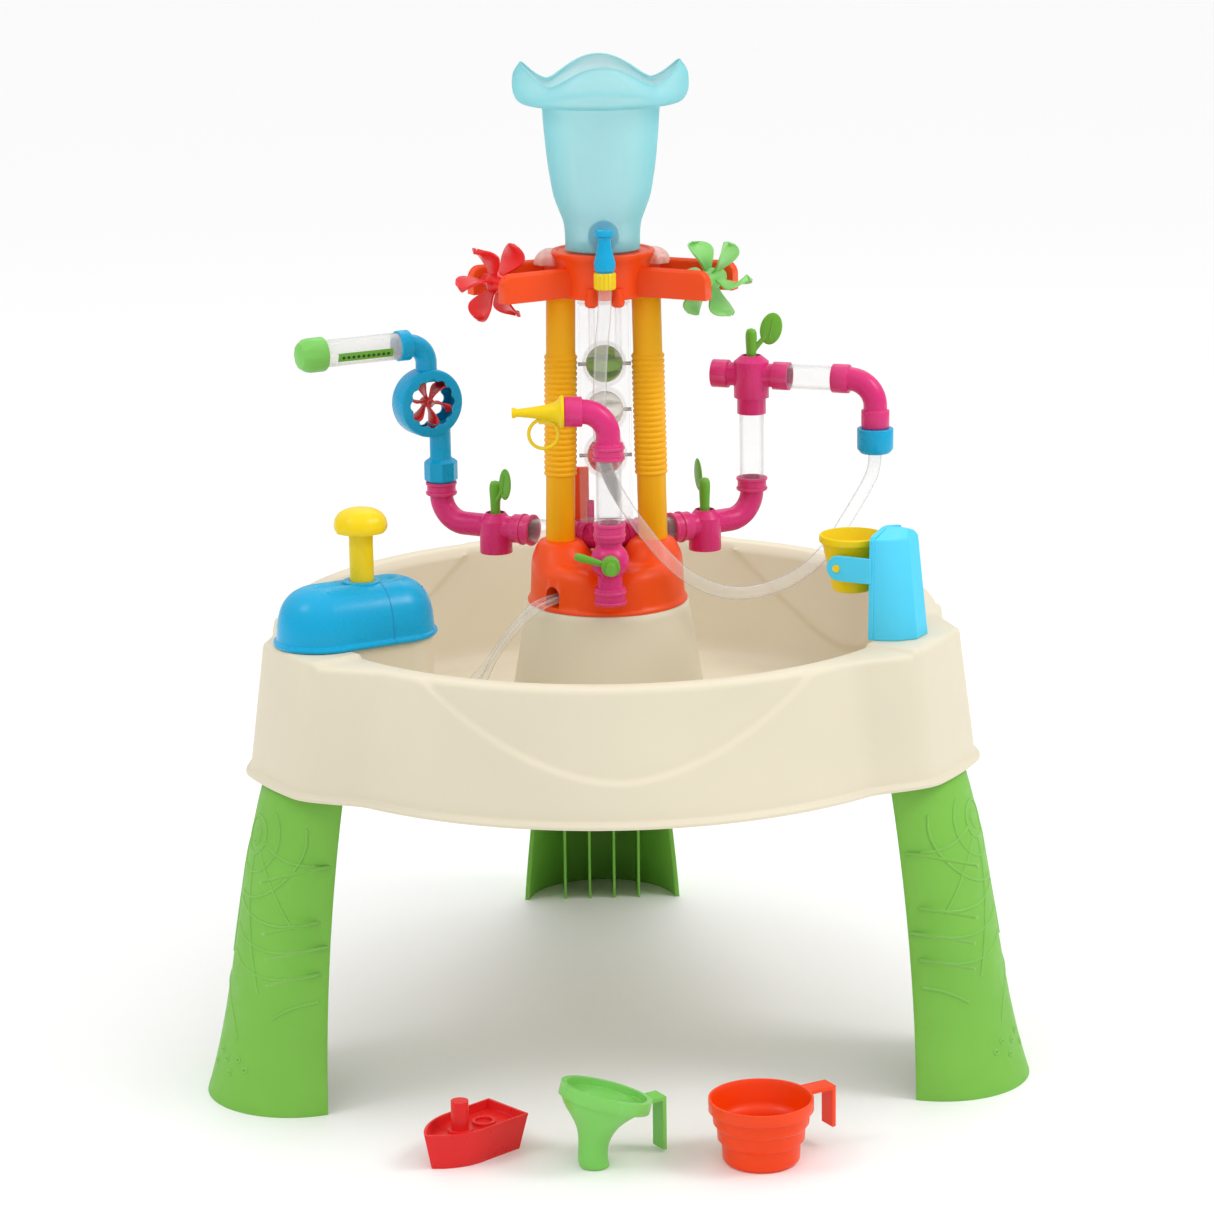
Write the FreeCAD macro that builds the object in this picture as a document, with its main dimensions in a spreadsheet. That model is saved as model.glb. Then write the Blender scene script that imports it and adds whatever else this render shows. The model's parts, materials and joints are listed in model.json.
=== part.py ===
"""Sand and water table: a round tub on three legs with a water tower, pipes, valves and toys.

The origin is on the floor under the tower's axis. +Z is up and -Y is the front, where the toys lie.
Angles about the tower are in degrees from +X. The legs stand at 90, 210 and 330 degrees.
"""
import FreeCAD, Part
import math
import os

import Sketcher
from FreeCAD import Placement, Rotation, Vector

LEFT_LEG, RIGHT_LEG, BACK_LEG = 210, 330, 90
LEFT_PIPE, RIGHT_PIPE = 150, 30
UP = Vector(0, 0, 1)

# places and levels that several parts share, in millimetres or degrees
PUMP_ANGLE = 208
SPRINKLER_ANGLE = 208
CROSS_ANGLE = -20
HOSE_ARCH_ANGLE = 223
BARB_HEIGHTS = (386, 404)
BARB_REACH = 200
HOSE_STOP_REACH = 56
BASE_SCREW_REACH = 74
BASE_SCREW_ANGLES = (60, 120, 300)
BASE_FLANGE = 4
DRAIN_REACH, DRAIN_ANGLE = 250, 270
CHUTE_BOTTOM = 566
SPINNER_LEVELS = (738, 688, 638)
NIPPLE_SIDE = -17
WHEEL_SIDE, WHEEL_DEPTH, WHEEL_AXLE_LENGTH = 114, -27, 84
SPOUT_REACH, SPOUT_LEVEL = 62, 880
STRAW_SIDE = 14
MANIFOLD_STUB_REACH = 77
PISTON_HEIGHT = 450

# alias, millimetres (or degrees where the name says so)
DIMENSIONS = [
    ("tub_flange_height", 334), ("tub_rim_height", 472), ("tub_flange_radius", 384),
    ("tub_rim_radius", 362), ("tub_lip", 4), ("tub_wall", 4), ("basin_rim_radius", 333),
    ("basin_floor_radius", 305), ("basin_floor_height", 338), ("lobe_flange_radius", 415),
    ("lobe_rim_radius", 396), ("lobe_half_width", 62), ("lobe_rise", 4), ("lobe_corner", 22),
    ("pedestal_foot_radius", 110), ("pedestal_top_radius", 89), ("pedestal_height", 479),
    ("platform_inner_reach", 219), ("platform_half_width", 45), ("platform_height", 476),
    ("leg_wall", 5), ("leg_top_height", 334), ("leg_tenon_height", 395), ("leg_rib", 3),
    ("screw_radius", 3), ("screw_head_radius", 5.5), ("screw_length", 18),
    ("base_radius", 84), ("base_flange_radius", 87), ("base_top_height", 525), ("base_wall", 4),
    ("shoulder_height", 545), ("shoulder_radius", 25), ("shoulder_foot_radius", 36),
    ("column_radius", 15.8), ("rib_radius", 17.8), ("column_bottom_height", 508),
    ("column_top_height", 826), ("column_foot_reach", 51), ("column_lean_degrees", 1.0),
    ("corrugation_count", 22), ("corrugation_bottom", 617), ("corrugation_top", 750),
    ("pipe_height", 544), ("pipe_radius", 13), ("pipe_bore", 11), ("collar_radius", 16),
    ("socket_bore", 13.7), ("tube_radius", 13.5), ("tube_bore", 12.2), ("socket_depth", 15),
    ("manifold_back", 10), ("valve_body_radius", 18), ("valve_bore", 10), ("plug_radius", 9.93),
    ("left_valve_reach", 139), ("left_mouth_reach", 91), ("left_riser_reach", 208),
    ("right_valve_reach", 128), ("right_mouth_reach", 82), ("right_riser_reach", 191),
    ("elbow_bend", 30), ("front_pipe_reach", 100), ("bulb_radius", 20.5),
    ("front_outlet_height", 705), ("horn_radius", 18), ("horn_length", 55),
    ("swivel_bore", 13.57),
    ("stalk_radius", 6), ("leaf_radius", 13), ("leaf_thickness", 5),
    ("fan_height", 680), ("fan_offset", 15), ("fan_housing_radius", 36), ("fan_housing_width", 29),
    ("fan_radius", 29), ("fan_window_radius", 24), ("sprinkler_height", 746),
    ("sprinkler_radius", 15), ("sprinkler_length", 105), ("cap_radius", 19), ("cap_length", 30.5),
    ("tee_height", 704), ("tee_radius", 19.5), ("tee_port_reach", 44), ("cross_axis_reach", 141),
    ("cap_bottom_height", 623), ("hose_radius", 7.25), ("small_hose_radius", 3.8),
    ("crown_bottom", 806), ("crown_top", 862), ("crown_radius", 56), ("crown_wall", 3),
    ("arm_thickness", 13), ("arm_height", 31), ("wheel_radius", 43), ("wheel_height", 832),
    ("axle_radius", 3), ("pin_radius", 2), ("chute_half_width", 28.6), ("bubble_radius", 26),
    ("spinner_radius", 20), ("bowl_wall", 2.5), ("petal_radius", 92), ("petal_tip_height", 1062),
    ("petal_base_height", 1017), ("pump_reach", 305), ("plunger_reach", 296),
    ("pump_half_length", 90), ("pump_half_width", 50), ("pump_top_height", 538),
    ("stem_radius", 12.7), ("knob_radius", 28.5), ("knob_top_height", 615), ("piston_radius", 17.9),
    ("bucket_radius", 34.5), ("bucket_foot_radius", 21), ("bucket_bottom", 518),
    ("bucket_top", 578), ("bucket_reach", 292), ("bucket_pivot_height", 549), ("trunnion_radius", 4),
    ("splash_plate_reach", 331), ("splash_half_width", 40), ("splash_top_height", 590),
    ("cup_radius", 53), ("cup_height", 67), ("funnel_radius", 47), ("funnel_height", 76),
    ("toy_wall", 2.4), ("toy_front_reach", 492),
]


class Size:
    """A number together with the spreadsheet expression that gives it."""

    def __init__(self, value, text):
        self.value, self.text = float(value), text

    def join(self, other, sign, value):
        other_text = other.text if isinstance(other, Size) else repr(other)
        return Size(value, f"({self.text} {sign} {other_text})")

    def __add__(self, other):
        return self.join(other, "+", self.value + number(other))

    def __sub__(self, other):
        return self.join(other, "-", self.value - number(other))

    def __mul__(self, factor):
        return self.join(factor, "*", self.value * number(factor))


def number(size):
    return size.value if isinstance(size, Size) else float(size)


class Sizes:
    """Every driving dimension by its alias, kept in the document's spreadsheet."""

    def __init__(self, document):
        self.sheet = document.addObject("Spreadsheet::Sheet", "Sizes")
        for row, (alias, value) in enumerate(DIMENSIONS, start=1):
            self.sheet.set(f"A{row}", alias)
            self.sheet.set(f"B{row}", str(value))
            self.sheet.setAlias(f"B{row}", alias)
            setattr(self, alias, Size(value, f"Sizes.{alias}"))


doc = FreeCAD.newDocument("SandWaterTable")
S = Sizes(doc)
doc.recompute()
PIECES = {}


# --- small modelling helpers -------------------------------------------------------------------

def bind(feature, **properties):
    for name, size in properties.items():
        setattr(feature, name, number(size))
        if isinstance(size, Size):
            feature.setExpression(name, size.text)


def vector(point):
    return Vector(*(number(value) for value in point))


def along(axis, at):
    """The placement that points local +Z along the axis, at a point."""
    return Placement(vector(at), Rotation(UP, vector(axis)))


def polar(reach, angle, height=0.0):
    turn = math.radians(angle)
    return Vector(number(reach) * math.cos(turn), number(reach) * math.sin(turn), number(height))


def turned(angle, at=(0, 0, 0)):
    """A local frame whose +X points along the angle about the vertical."""
    return Placement(vector(at), Rotation(UP, angle))


def cylinder(radius, height, at=(0, 0, 0), axis=(0, 0, 1)):
    feature = doc.addObject("Part::Cylinder", "Cylinder")
    bind(feature, Radius=radius, Height=height)
    feature.Placement = along(axis, at)
    return feature


def cone(bottom_radius, top_radius, height, at=(0, 0, 0), axis=(0, 0, 1)):
    feature = doc.addObject("Part::Cone", "Cone")
    bind(feature, Radius1=bottom_radius, Radius2=top_radius, Height=height)
    feature.Placement = along(axis, at)
    return feature


def sphere(radius, at=(0, 0, 0)):
    feature = doc.addObject("Part::Sphere", "Sphere")
    bind(feature, Radius=radius)
    feature.Placement = Placement(vector(at), Rotation())
    return feature


def box(length, width, height, middle=(0, 0, 0), turn=Rotation()):
    """A box centred on a point."""
    feature = doc.addObject("Part::Box", "Box")
    bind(feature, Length=length, Width=width, Height=height)
    half = Vector(number(length), number(width), number(height)) * 0.5
    feature.Placement = Placement(vector(middle) - turn.multVec(half), turn)
    return feature


def quarter_bend(ring, tube, centre, start, end):
    """A quarter of a torus, from the start direction to the end direction about its centre."""
    feature = doc.addObject("Part::Torus", "Bend")
    bind(feature, Radius1=ring, Radius2=tube, Angle3=90)
    x_axis, y_axis = vector(start), vector(end)
    feature.Placement = Placement(vector(centre), Rotation(x_axis, y_axis, x_axis.cross(y_axis), "XYZ"))
    return feature


def ring(radius, tube, centre, axis):
    feature = doc.addObject("Part::Torus", "Ring")
    bind(feature, Radius1=radius, Radius2=tube)
    feature.Placement = along(axis, centre)
    return feature


def fuse(*features):
    joined = doc.addObject("Part::MultiFuse", "Fusion")
    joined.Shapes = list(features)
    return joined


def cut(base, *tools):
    result = doc.addObject("Part::Cut", "Cut")
    result.Base = base
    result.Tool = tools[0] if len(tools) == 1 else fuse(*tools)
    return result


def common(first, second):
    result = doc.addObject("Part::Common", "Common")
    result.Base, result.Tool = first, second
    return result


def group(*features):
    """Separate solids that share one node."""
    compound = doc.addObject("Part::Compound", "Group")
    compound.Links = list(features)
    return compound


def rounded(feature, radius, chosen):
    """Round the edges that the chosen test picks."""
    doc.recompute()
    result = doc.addObject("Part::Fillet", "Rounded")
    result.Base = feature
    picked = [index for index, edge in enumerate(feature.Shape.Edges, start=1) if chosen(edge)]
    result.Edges = [(index, number(radius), number(radius)) for index in picked]
    return result


def feature_of(shape):
    """A feature around a shape that no parametric feature makes."""
    feature = doc.addObject("Part::Feature", "Shape")
    feature.Shape = shape
    return feature


def piece(node, feature, place=None):
    feature.Label = node
    if place is not None:
        feature.Placement = place.multiply(feature.Placement)
    PIECES[node] = feature
    return feature


def revolved(profile, name="Turned"):
    """A body turned about the vertical from a closed outline of (radius, height) corners."""
    body = doc.addObject("PartDesign::Body", name)
    sketch = body.newObject("Sketcher::SketchObject", name + "Profile")
    plane = next(item for item in body.Origin.OriginFeatures if item.Role == "XZ_Plane")
    sketch.AttachmentSupport = (plane, [""])
    sketch.MapMode = "FlatFace"
    corners = [Vector(number(radius), number(height), 0) for radius, height in profile]
    count = len(corners)
    for index in range(count):
        sketch.addGeometry(Part.LineSegment(corners[index], corners[(index + 1) % count]), False)
    for index in range(count):
        sketch.addConstraint(Sketcher.Constraint("Coincident", index, 2, (index + 1) % count, 1))
    for index, corner in enumerate(profile):
        for kind, size, axis in (("DistanceX", corner[0], -2), ("DistanceY", corner[1], -1)):
            if number(size) == 0:
                sketch.addConstraint(Sketcher.Constraint("PointOnObject", index, 1, axis))
                continue
            mark = sketch.addConstraint(Sketcher.Constraint(kind, -1, 1, index, 1, number(size)))
            if isinstance(size, Size):
                sketch.setExpression(f"Constraints[{mark}]", size.text)
    turn = body.newObject("PartDesign::Revolution", name + "Turn")
    turn.Profile = sketch
    turn.ReferenceAxis = (sketch, ["V_Axis"])
    turn.Angle = 360
    return body


def pipe(outer, inner):
    """Outer pieces joined, with the inner pieces taken out."""
    return cut(fuse(*outer) if len(outer) > 1 else outer[0], *inner)


# --- tub and legs ------------------------------------------------------------------------------

def lobe(angle, inset):
    """The bulge of the tub over a leg, inset by a wall for its hollow."""
    bottom = S.tub_flange_height - inset
    height = S.tub_rim_height + S.lobe_rise - S.tub_flange_height
    shell = cone(S.lobe_flange_radius - inset, S.lobe_rim_radius - inset, height,
                 at=(0, 0, bottom))
    length = 140
    block = box(length, S.lobe_half_width * 2 - inset * 2, height,
                middle=polar(length / 2 + number(S.basin_rim_radius) + 3 + inset, angle,
                             bottom.value + height.value / 2), turn=Rotation(UP, angle))
    outside = S.tub_flange_radius.value

    def upright_corner(edge):
        ends = [vertex.Point for vertex in edge.Vertexes]
        return (len(ends) == 2 and abs(ends[0].z - ends[1].z) > height.value / 2
                and min(math.hypot(end.x, end.y) for end in ends) > outside)
    return rounded(common(shell, block), S.lobe_corner, upright_corner)


def platform(reach, half_width, top):
    """The raised seat in the tub under the pump, from its round end to the tub's wall."""
    bottom = S.basin_floor_height
    length = S.tub_rim_radius.value - reach.value - half_width.value - 12
    middle_reach = reach.value + half_width.value
    height = top - bottom
    level = bottom.value + height.value / 2
    slab = box(length, half_width * 2, height, turn=Rotation(UP, PUMP_ANGLE),
               middle=polar(middle_reach + length / 2, PUMP_ANGLE, level))
    end = cylinder(half_width, height, at=polar(middle_reach, PUMP_ANGLE, bottom))
    return fuse(slab, end)


def make_tub():
    wall, rise = S.tub_wall, S.tub_rim_height - S.tub_flange_height
    legs = (LEFT_LEG, RIGHT_LEG, BACK_LEG)
    flange = S.tub_flange_height
    outside = fuse(cone(S.tub_flange_radius, S.tub_rim_radius, rise, at=(0, 0, flange)),
                   cylinder(S.tub_flange_radius + S.tub_lip, 5, at=(0, 0, flange)),
                   *[lobe(angle, 0) for angle in legs])
    depth = S.tub_rim_height + S.lobe_rise - S.basin_floor_height
    basin = cone(S.basin_floor_radius, S.basin_rim_radius, depth, at=(0, 0, S.basin_floor_height))
    pedestal = cone(S.pedestal_foot_radius, S.pedestal_top_radius,
                    S.pedestal_height - S.basin_floor_height, at=(0, 0, S.basin_floor_height))
    seat = platform(S.platform_inner_reach, S.platform_half_width, S.platform_height)
    solid = fuse(cut(outside, basin), pedestal, seat)
    skirt_hollow = fuse(cone(S.tub_flange_radius - wall, S.tub_rim_radius - wall, rise - wall,
                             at=(0, 0, flange)),
                        *[lobe(angle, 4) for angle in legs])
    inner_shell = cone(S.basin_floor_radius + wall, S.basin_rim_radius + wall, depth + wall,
                       at=(0, 0, S.basin_floor_height - wall))
    hollow = fuse(cut(skirt_hollow, inner_shell),
                  cone(S.pedestal_foot_radius - wall, S.pedestal_top_radius - wall,
                       S.pedestal_height - S.basin_floor_height, at=(0, 0, flange)),
                  platform_hollow())
    bores = [cylinder(S.small_hose_radius + 1.5, 30, at=polar(S.platform_inner_reach - 6, PUMP_ANGLE, height),
                      axis=polar(1, PUMP_ANGLE)) for height in BARB_HEIGHTS]
    screw_holes = [cylinder(S.screw_radius + 0.2, 30, at=polar(BASE_SCREW_REACH, angle, 465))
                   for angle in BASE_SCREW_ANGLES]
    piston_well = cylinder(S.piston_radius + 3.5, 20, at=polar(S.plunger_reach, PUMP_ANGLE, 465))
    drain = cylinder(12.2, 20, at=polar(DRAIN_REACH, DRAIN_ANGLE, 325))
    piece("tub", cut(solid, hollow, *bores, *screw_holes, piston_well, drain))


def platform_hollow():
    wall = S.tub_wall
    return platform(S.platform_inner_reach + wall, S.platform_half_width - wall,
                    S.platform_height - wall)


def leg_outline(height, thickness):
    """A closed section of a leg: two arcs that bulge outwards, in the leg's own frame (+X out)."""
    stations = [(0, 410, 95, 82), (110, 401, 85, 62), (220, 386, 75, 58), (334, 369, 74, 45)]
    for low, high in zip(stations, stations[1:]):
        if low[0] <= height <= high[0] or high is stations[-1]:
            share = (height - low[0]) / (high[0] - low[0])
            chord, half, bulge = (a + (b - a) * share for a, b in zip(low[1:], high[1:]))
            break
    half -= thickness
    bulge = max(bulge - thickness, 5)
    ends = [Vector(chord, -half, height), Vector(chord, half, height)]
    crown = Vector(chord + bulge, 0, height)
    return Part.Wire([Part.Arc(ends[0], crown, ends[1]).toShape(),
                      Part.LineSegment(ends[1], ends[0]).toShape()])


def make_leg(node, angle):
    wall, top = S.leg_wall.value, S.leg_top_height.value
    levels = (0, 110, 220, top)
    solid = Part.makeLoft([leg_outline(level, 0) for level in levels], True)
    hollow_levels = [(levels[0] - 1, levels[0])] + [(level, level) for level in levels[1:-1]]
    hollow_wires = [leg_outline(shape_level, wall) for _, shape_level in hollow_levels]
    hollow_wires[0].translate(Vector(0, 0, -1))
    roof = leg_outline(top, wall)
    roof.translate(Vector(0, 0, -wall))
    hollow = Part.makeLoft(hollow_wires + [roof], True)
    hollow.translate(Vector(-0.5, 0, 0))
    rib = S.leg_rib.value
    shell = solid.cut(hollow)
    for place in (-45, -15, 15, 45):
        slab = Part.makeBox(110, rib, top, Vector(395, place - rib / 2, 0))
        shell = shell.fuse(slab.common(solid))
    tenon_height = S.leg_tenon_height.value
    tenon = Part.makeBox(42, 92, tenon_height - top, Vector(345, -46, top))
    tenon = tenon.cut(Part.makeBox(30, 80, tenon_height - top, Vector(351, -40, top)))
    feature = feature_of(shell.fuse(tenon).removeSplitter())
    piece(node, feature, turned(angle))


def screw(at, axis):
    """A pan-head screw whose head rests at the point, its shank along the axis."""
    head_axis = vector(axis) * -1
    return fuse(cylinder(S.screw_radius, S.screw_length, at=at, axis=axis),
                cylinder(S.screw_head_radius, 3, at=at, axis=head_axis))


def make_screws():
    tops = [screw(polar(BASE_SCREW_REACH, angle, S.pedestal_height.value + BASE_FLANGE), (0, 0, -1))
            for angle in BASE_SCREW_ANGLES]
    piece("base_screws", group(*tops))


def make_drain_plug():
    head, shank = 17, 12
    body = revolved([(0, 0), (shank, 0), (shank, 8), (head, 8), (head, 11), (0, 11)])
    piece("drain_plug", body, Placement(polar(DRAIN_REACH, DRAIN_ANGLE, 330), Rotation()))


# --- tower -------------------------------------------------------------------------------------

def make_tower_base():
    foot, wall, top = S.pedestal_height, S.base_wall, S.base_top_height
    shell = revolved([(S.base_radius - wall, foot), (S.base_flange_radius, foot),
                      (S.base_flange_radius, foot + BASE_FLANGE), (S.base_radius, foot + 6),
                      (S.base_radius - 2, top - 12), (S.base_radius - 14, top), (0, top),
                      (0, top - wall), (S.base_radius - 16, top - wall),
                      (S.base_radius - wall - 2, top - 14)])
    shoulders, sockets = [], []
    for side in (-1, 1):
        reach = S.column_foot_reach.value * side
        shoulders.append(cone(S.shoulder_foot_radius, S.shoulder_radius, S.shoulder_height - top + wall,
                              at=(reach, 0, top - wall)))
        shoulders.append(cylinder(S.column_radius + wall, top - foot, at=(reach, 0, foot)))
        sockets.append(column_frame(side, cylinder(S.column_radius + 0.35, 60)))
    bracket = box(16, 4, 92, middle=(-26, 47, 570))
    lugs = [cylinder(8, BASE_FLANGE + 4, at=polar(BASE_SCREW_REACH, angle, foot))
            for angle in BASE_SCREW_ANGLES]
    bulkhead = box(4, 34, 38, middle=polar(HOSE_STOP_REACH - 2, HOSE_ARCH_ANGLE, 504),
                   turn=Rotation(UP, HOSE_ARCH_ANGLE))
    solid = fuse(shell, *shoulders, bracket, *lugs, bulkhead)
    recess = cylinder(S.bulb_radius + 5, 80, at=(0, S.front_pipe_reach * -1, foot + 8))
    saddles = [cylinder(S.pipe_radius + 2, 70, at=(0, -35, S.pipe_height), axis=(0, -1, 0)),
               *[cylinder(S.collar_radius + 0.6, 120, at=(0, S.manifold_back, S.pipe_height),
                          axis=polar(1, angle)) for angle in (LEFT_PIPE, RIGHT_PIPE)]]
    arch_height = 14
    arch_axis = polar(1, HOSE_ARCH_ANGLE)
    arch = fuse(cylinder(10, 40, at=polar(60, HOSE_ARCH_ANGLE, foot + arch_height), axis=arch_axis),
                box(40, 20, arch_height - 4, turn=Rotation(UP, HOSE_ARCH_ANGLE),
                    middle=polar(80, HOSE_ARCH_ANGLE, foot + 9)))
    holes = [cylinder(S.screw_radius + 0.2, 20, at=polar(BASE_SCREW_REACH, angle, foot - 2))
             for angle in BASE_SCREW_ANGLES]
    heads = [cylinder(S.screw_head_radius + 1, 8, at=polar(BASE_SCREW_REACH, angle, foot + BASE_FLANGE))
             for angle in BASE_SCREW_ANGLES]
    pillar_hole = cylinder(S.pipe_radius + 0.3, 12, at=(0, S.manifold_back, top - 8))
    piece("tower_base", cut(solid, *sockets, recess, *saddles, arch, *holes, *heads, pillar_hole))


def column_frame(side, feature):
    """Lean a column's part towards the tower's axis, standing at the column's foot."""
    lean = Rotation(Vector(0, 1, 0), -side * S.column_lean_degrees.value)
    foot = Vector(S.column_foot_reach.value * side, 0, S.column_bottom_height.value)
    feature.Placement = Placement(foot, lean).multiply(feature.Placement)
    return feature


def make_column(node, side):
    bottom = S.column_bottom_height
    outline = [(S.column_radius - 2, 0), (S.column_radius, 0),
               (S.column_radius, S.corrugation_bottom - bottom)]
    count = int(S.corrugation_count.value)
    pitch = (S.corrugation_top - S.corrugation_bottom) * (1 / count)
    for index in range(count):
        start = S.corrugation_bottom - bottom + pitch * index
        outline += [(S.rib_radius, start + 1.2), (S.rib_radius, start + 3.6),
                    (S.column_radius + 0.4, start + 4.8)]
    outline += [(S.column_radius, S.corrugation_top - bottom + 1),
                (S.column_radius, S.column_top_height - bottom),
                (S.column_radius - 2, S.column_top_height - bottom)]
    piece(node, column_frame(side, revolved(outline)))


def make_chute():
    """Two clear half shells with three round windows, each window holding a spinner."""
    bottom, top = CHUTE_BOTTOM, S.crown_bottom.value - 1
    for node, side in (("chute_front", -1), ("chute_back", 1)):
        plate = box(S.chute_half_width * 2, 10, top - bottom, middle=(0, side * 5.2, (top + bottom) / 2))
        bubbles = [sphere(S.bubble_radius, at=(0, 0, level)) for level in SPINNER_LEVELS]
        half = box(120, 60, 600, middle=(0, side * 30.2, 700))
        inner = [sphere(S.bubble_radius - 2, at=(0, 0, level)) for level in SPINNER_LEVELS]
        channel = box(S.chute_half_width * 2 - 5, 16, top - bottom - 5, middle=(0, 0, (top + bottom) / 2))
        pins = [cylinder(S.pin_radius + 0.05, 80, at=(-40, 0, level), axis=(1, 0, 0))
                for level in SPINNER_LEVELS]
        nipple = cylinder(4.6, 32, at=(NIPPLE_SIDE, S.manifold_back, bottom - 8))
        piece(node, cut(common(fuse(plate, *bubbles), half), *inner, channel, *pins, nipple))


def make_spinners():
    for node, level in zip(("spinner_top", "spinner_middle", "spinner_bottom"), SPINNER_LEVELS):
        ball = sphere(S.spinner_radius, at=(0, 0, level))
        notches = []
        for turn in range(0, 360, 60):
            swing = Rotation(Vector(1, 0, 0), turn)
            middle = Vector(0, 0, level) + swing.multVec(Vector(0, 0, 15))
            notches.append(box(60, 8.5, 16, middle=middle, turn=swing))
        hub = cylinder(9, 34, at=(-17, 0, level), axis=(1, 0, 0))
        bore = cylinder(S.pin_radius + 0.06, 60, at=(-30, 0, level), axis=(1, 0, 0))
        piece(node, cut(fuse(cut(ball, *notches), hub), bore))


def wheel_place(side):
    """The frame of a paddle wheel: +Z along its axle, at its middle."""
    axle = Vector(side * 0.5, 0.866, 0)
    return Placement(Vector(side * WHEEL_SIDE, WHEEL_DEPTH, S.wheel_height.value),
                     Rotation(axle.cross(UP), UP, axle, "ZXY"))


def make_pivot_pins():
    pins = [cylinder(S.pin_radius, S.chute_half_width * 2 - 0.4,
                     at=(S.chute_half_width * -1 + 0.2, 0, level), axis=(1, 0, 0))
            for level in SPINNER_LEVELS]
    for side in (-1, 1):
        axle = cylinder(S.axle_radius, WHEEL_AXLE_LENGTH, at=(0, 0, -WHEEL_AXLE_LENGTH / 2))
        axle.Placement = wheel_place(side).multiply(axle.Placement)
        pins.append(axle)
    piece("pivot_pins", group(*pins))


def blade(radius, root, width, thickness, sweep):
    """A curved blade in the plane across the axle, extruded along it and centred on it."""
    tip = Vector(radius, 0, 0)
    start = Vector(root, 0, 0)
    middle = Vector((radius + root) / 2, sweep, 0)
    back = Vector((radius + root) / 2, sweep - thickness, 0)
    outline = Part.Wire([Part.Arc(start, middle, tip).toShape(),
                         Part.LineSegment(tip, tip - Vector(0, thickness, 0)).toShape(),
                         Part.Arc(tip - Vector(0, thickness, 0), back,
                                  start - Vector(0, thickness, 0)).toShape(),
                         Part.LineSegment(start - Vector(0, thickness, 0), start).toShape()])
    return Part.Face(outline).extrude(Vector(0, 0, width)).translated(Vector(0, 0, -width / 2))


def bladed_wheel(radius, hub_radius, hub_width, blade_width, bore, count=6, sweep=5):
    hub = Part.makeCylinder(hub_radius, hub_width, Vector(0, 0, -hub_width / 2))
    round_limit = Part.makeCylinder(radius, hub_width, Vector(0, 0, -hub_width / 2))
    shape = hub
    for index in range(count):
        vane = blade(radius + 2, hub_radius - 1.5, blade_width, 2.2, sweep)
        vane.rotate(Vector(0, 0, 0), UP, index * 360 / count)
        shape = shape.fuse(vane.common(round_limit))
    return shape.cut(Part.makeCylinder(bore, hub_width + 2, Vector(0, 0, -hub_width / 2 - 1)))


def make_wheels():
    for node, side in (("wheel_red", -1), ("wheel_green", 1)):
        wheel = feature_of(bladed_wheel(S.wheel_radius.value, 8, 46, 34, S.axle_radius.value + 0.07))
        piece(node, wheel, wheel_place(side))


def crown_arm(side, start, end):
    """A fork arm of the crown, from start to end in plan, rounded at its upper outer corner."""
    first, last = Vector(side * start[0], start[1], 0), Vector(side * end[0], end[1], 0)
    run = last - first
    angle = math.degrees(math.atan2(run.y, run.x))
    level = S.crown_bottom.value + 40 - S.arm_height.value / 2
    arm = box(run.Length, S.arm_thickness, S.arm_height, turn=Rotation(UP, angle),
              middle=(first + last) * 0.5 + Vector(0, 0, level))
    tip_top = last + Vector(0, 0, level + S.arm_height.value / 2)

    def outer_top(edge):
        middle = edge.CenterOfMass
        return (middle - tip_top).Length < 2
    return rounded(arm, 12, outer_top)


def make_crown():
    bottom, top, wall = S.crown_bottom, S.crown_top, S.crown_wall
    hub = revolved([(S.crown_radius - 6 - wall, bottom), (S.crown_radius - 6, bottom),
                    (S.crown_radius - 7, bottom + 28), (S.crown_radius, top), (0, top),
                    (0, top - wall), (S.crown_radius - wall * 2, top - wall),
                    (S.crown_radius - 7 - wall, bottom + 26)])
    parts, sockets, axles = [hub], [], []
    for side in (-1, 1):
        parts.append(crown_arm(side, (36, -26), (108, -66)))
        parts.append(crown_arm(side, (56, 48), (141, 3)))
        length = S.column_top_height - S.column_bottom_height
        parts.append(column_frame(side, cylinder(S.column_radius + 4, 36, at=(0, 0, length - 18))))
        sockets.append(column_frame(side, cylinder(S.column_radius + 0.15, 30, at=(0, 0, length - 30))))
        axle = cylinder(S.axle_radius, WHEEL_AXLE_LENGTH + 0.2, at=(0, 0, -WHEEL_AXLE_LENGTH / 2 - 0.1))
        axle.Placement = wheel_place(side).multiply(axle.Placement)
        axles.append(axle)
        parts.append(cylinder(6.5, 12, at=(side * STRAW_SIDE, -40, bottom - 8)))
        sockets.append(cylinder(3.6, 30, at=(side * STRAW_SIDE, -40, bottom - 9)))
    rear_beam = box(130, 33, 38, middle=(0, 41, bottom.value + 21))
    beam_hollow = box(40, 40, 60, middle=(0, 10, bottom.value + 20))
    trim = cylinder(S.crown_radius - 9, 24, at=(0, 0, bottom + 28))
    spout_notch = cylinder(12.6, 50, at=(0, SPOUT_REACH * -1, bottom + 16))
    piece("crown", cut(fuse(*parts, cut(rear_beam, beam_hollow)), *sockets, *axles, trim, spout_notch))


def make_splash_domes():
    domes = []
    for side in (-1, 1):
        centre = (side * 63, 39, S.crown_bottom.value + 40)
        shell = cut(sphere(17, at=centre), sphere(15.4, at=centre))
        domes.append(common(shell, box(40, 40, 20, middle=(centre[0], centre[1], centre[2] + 10.2))))
    piece("splash_domes", group(*domes))


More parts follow.
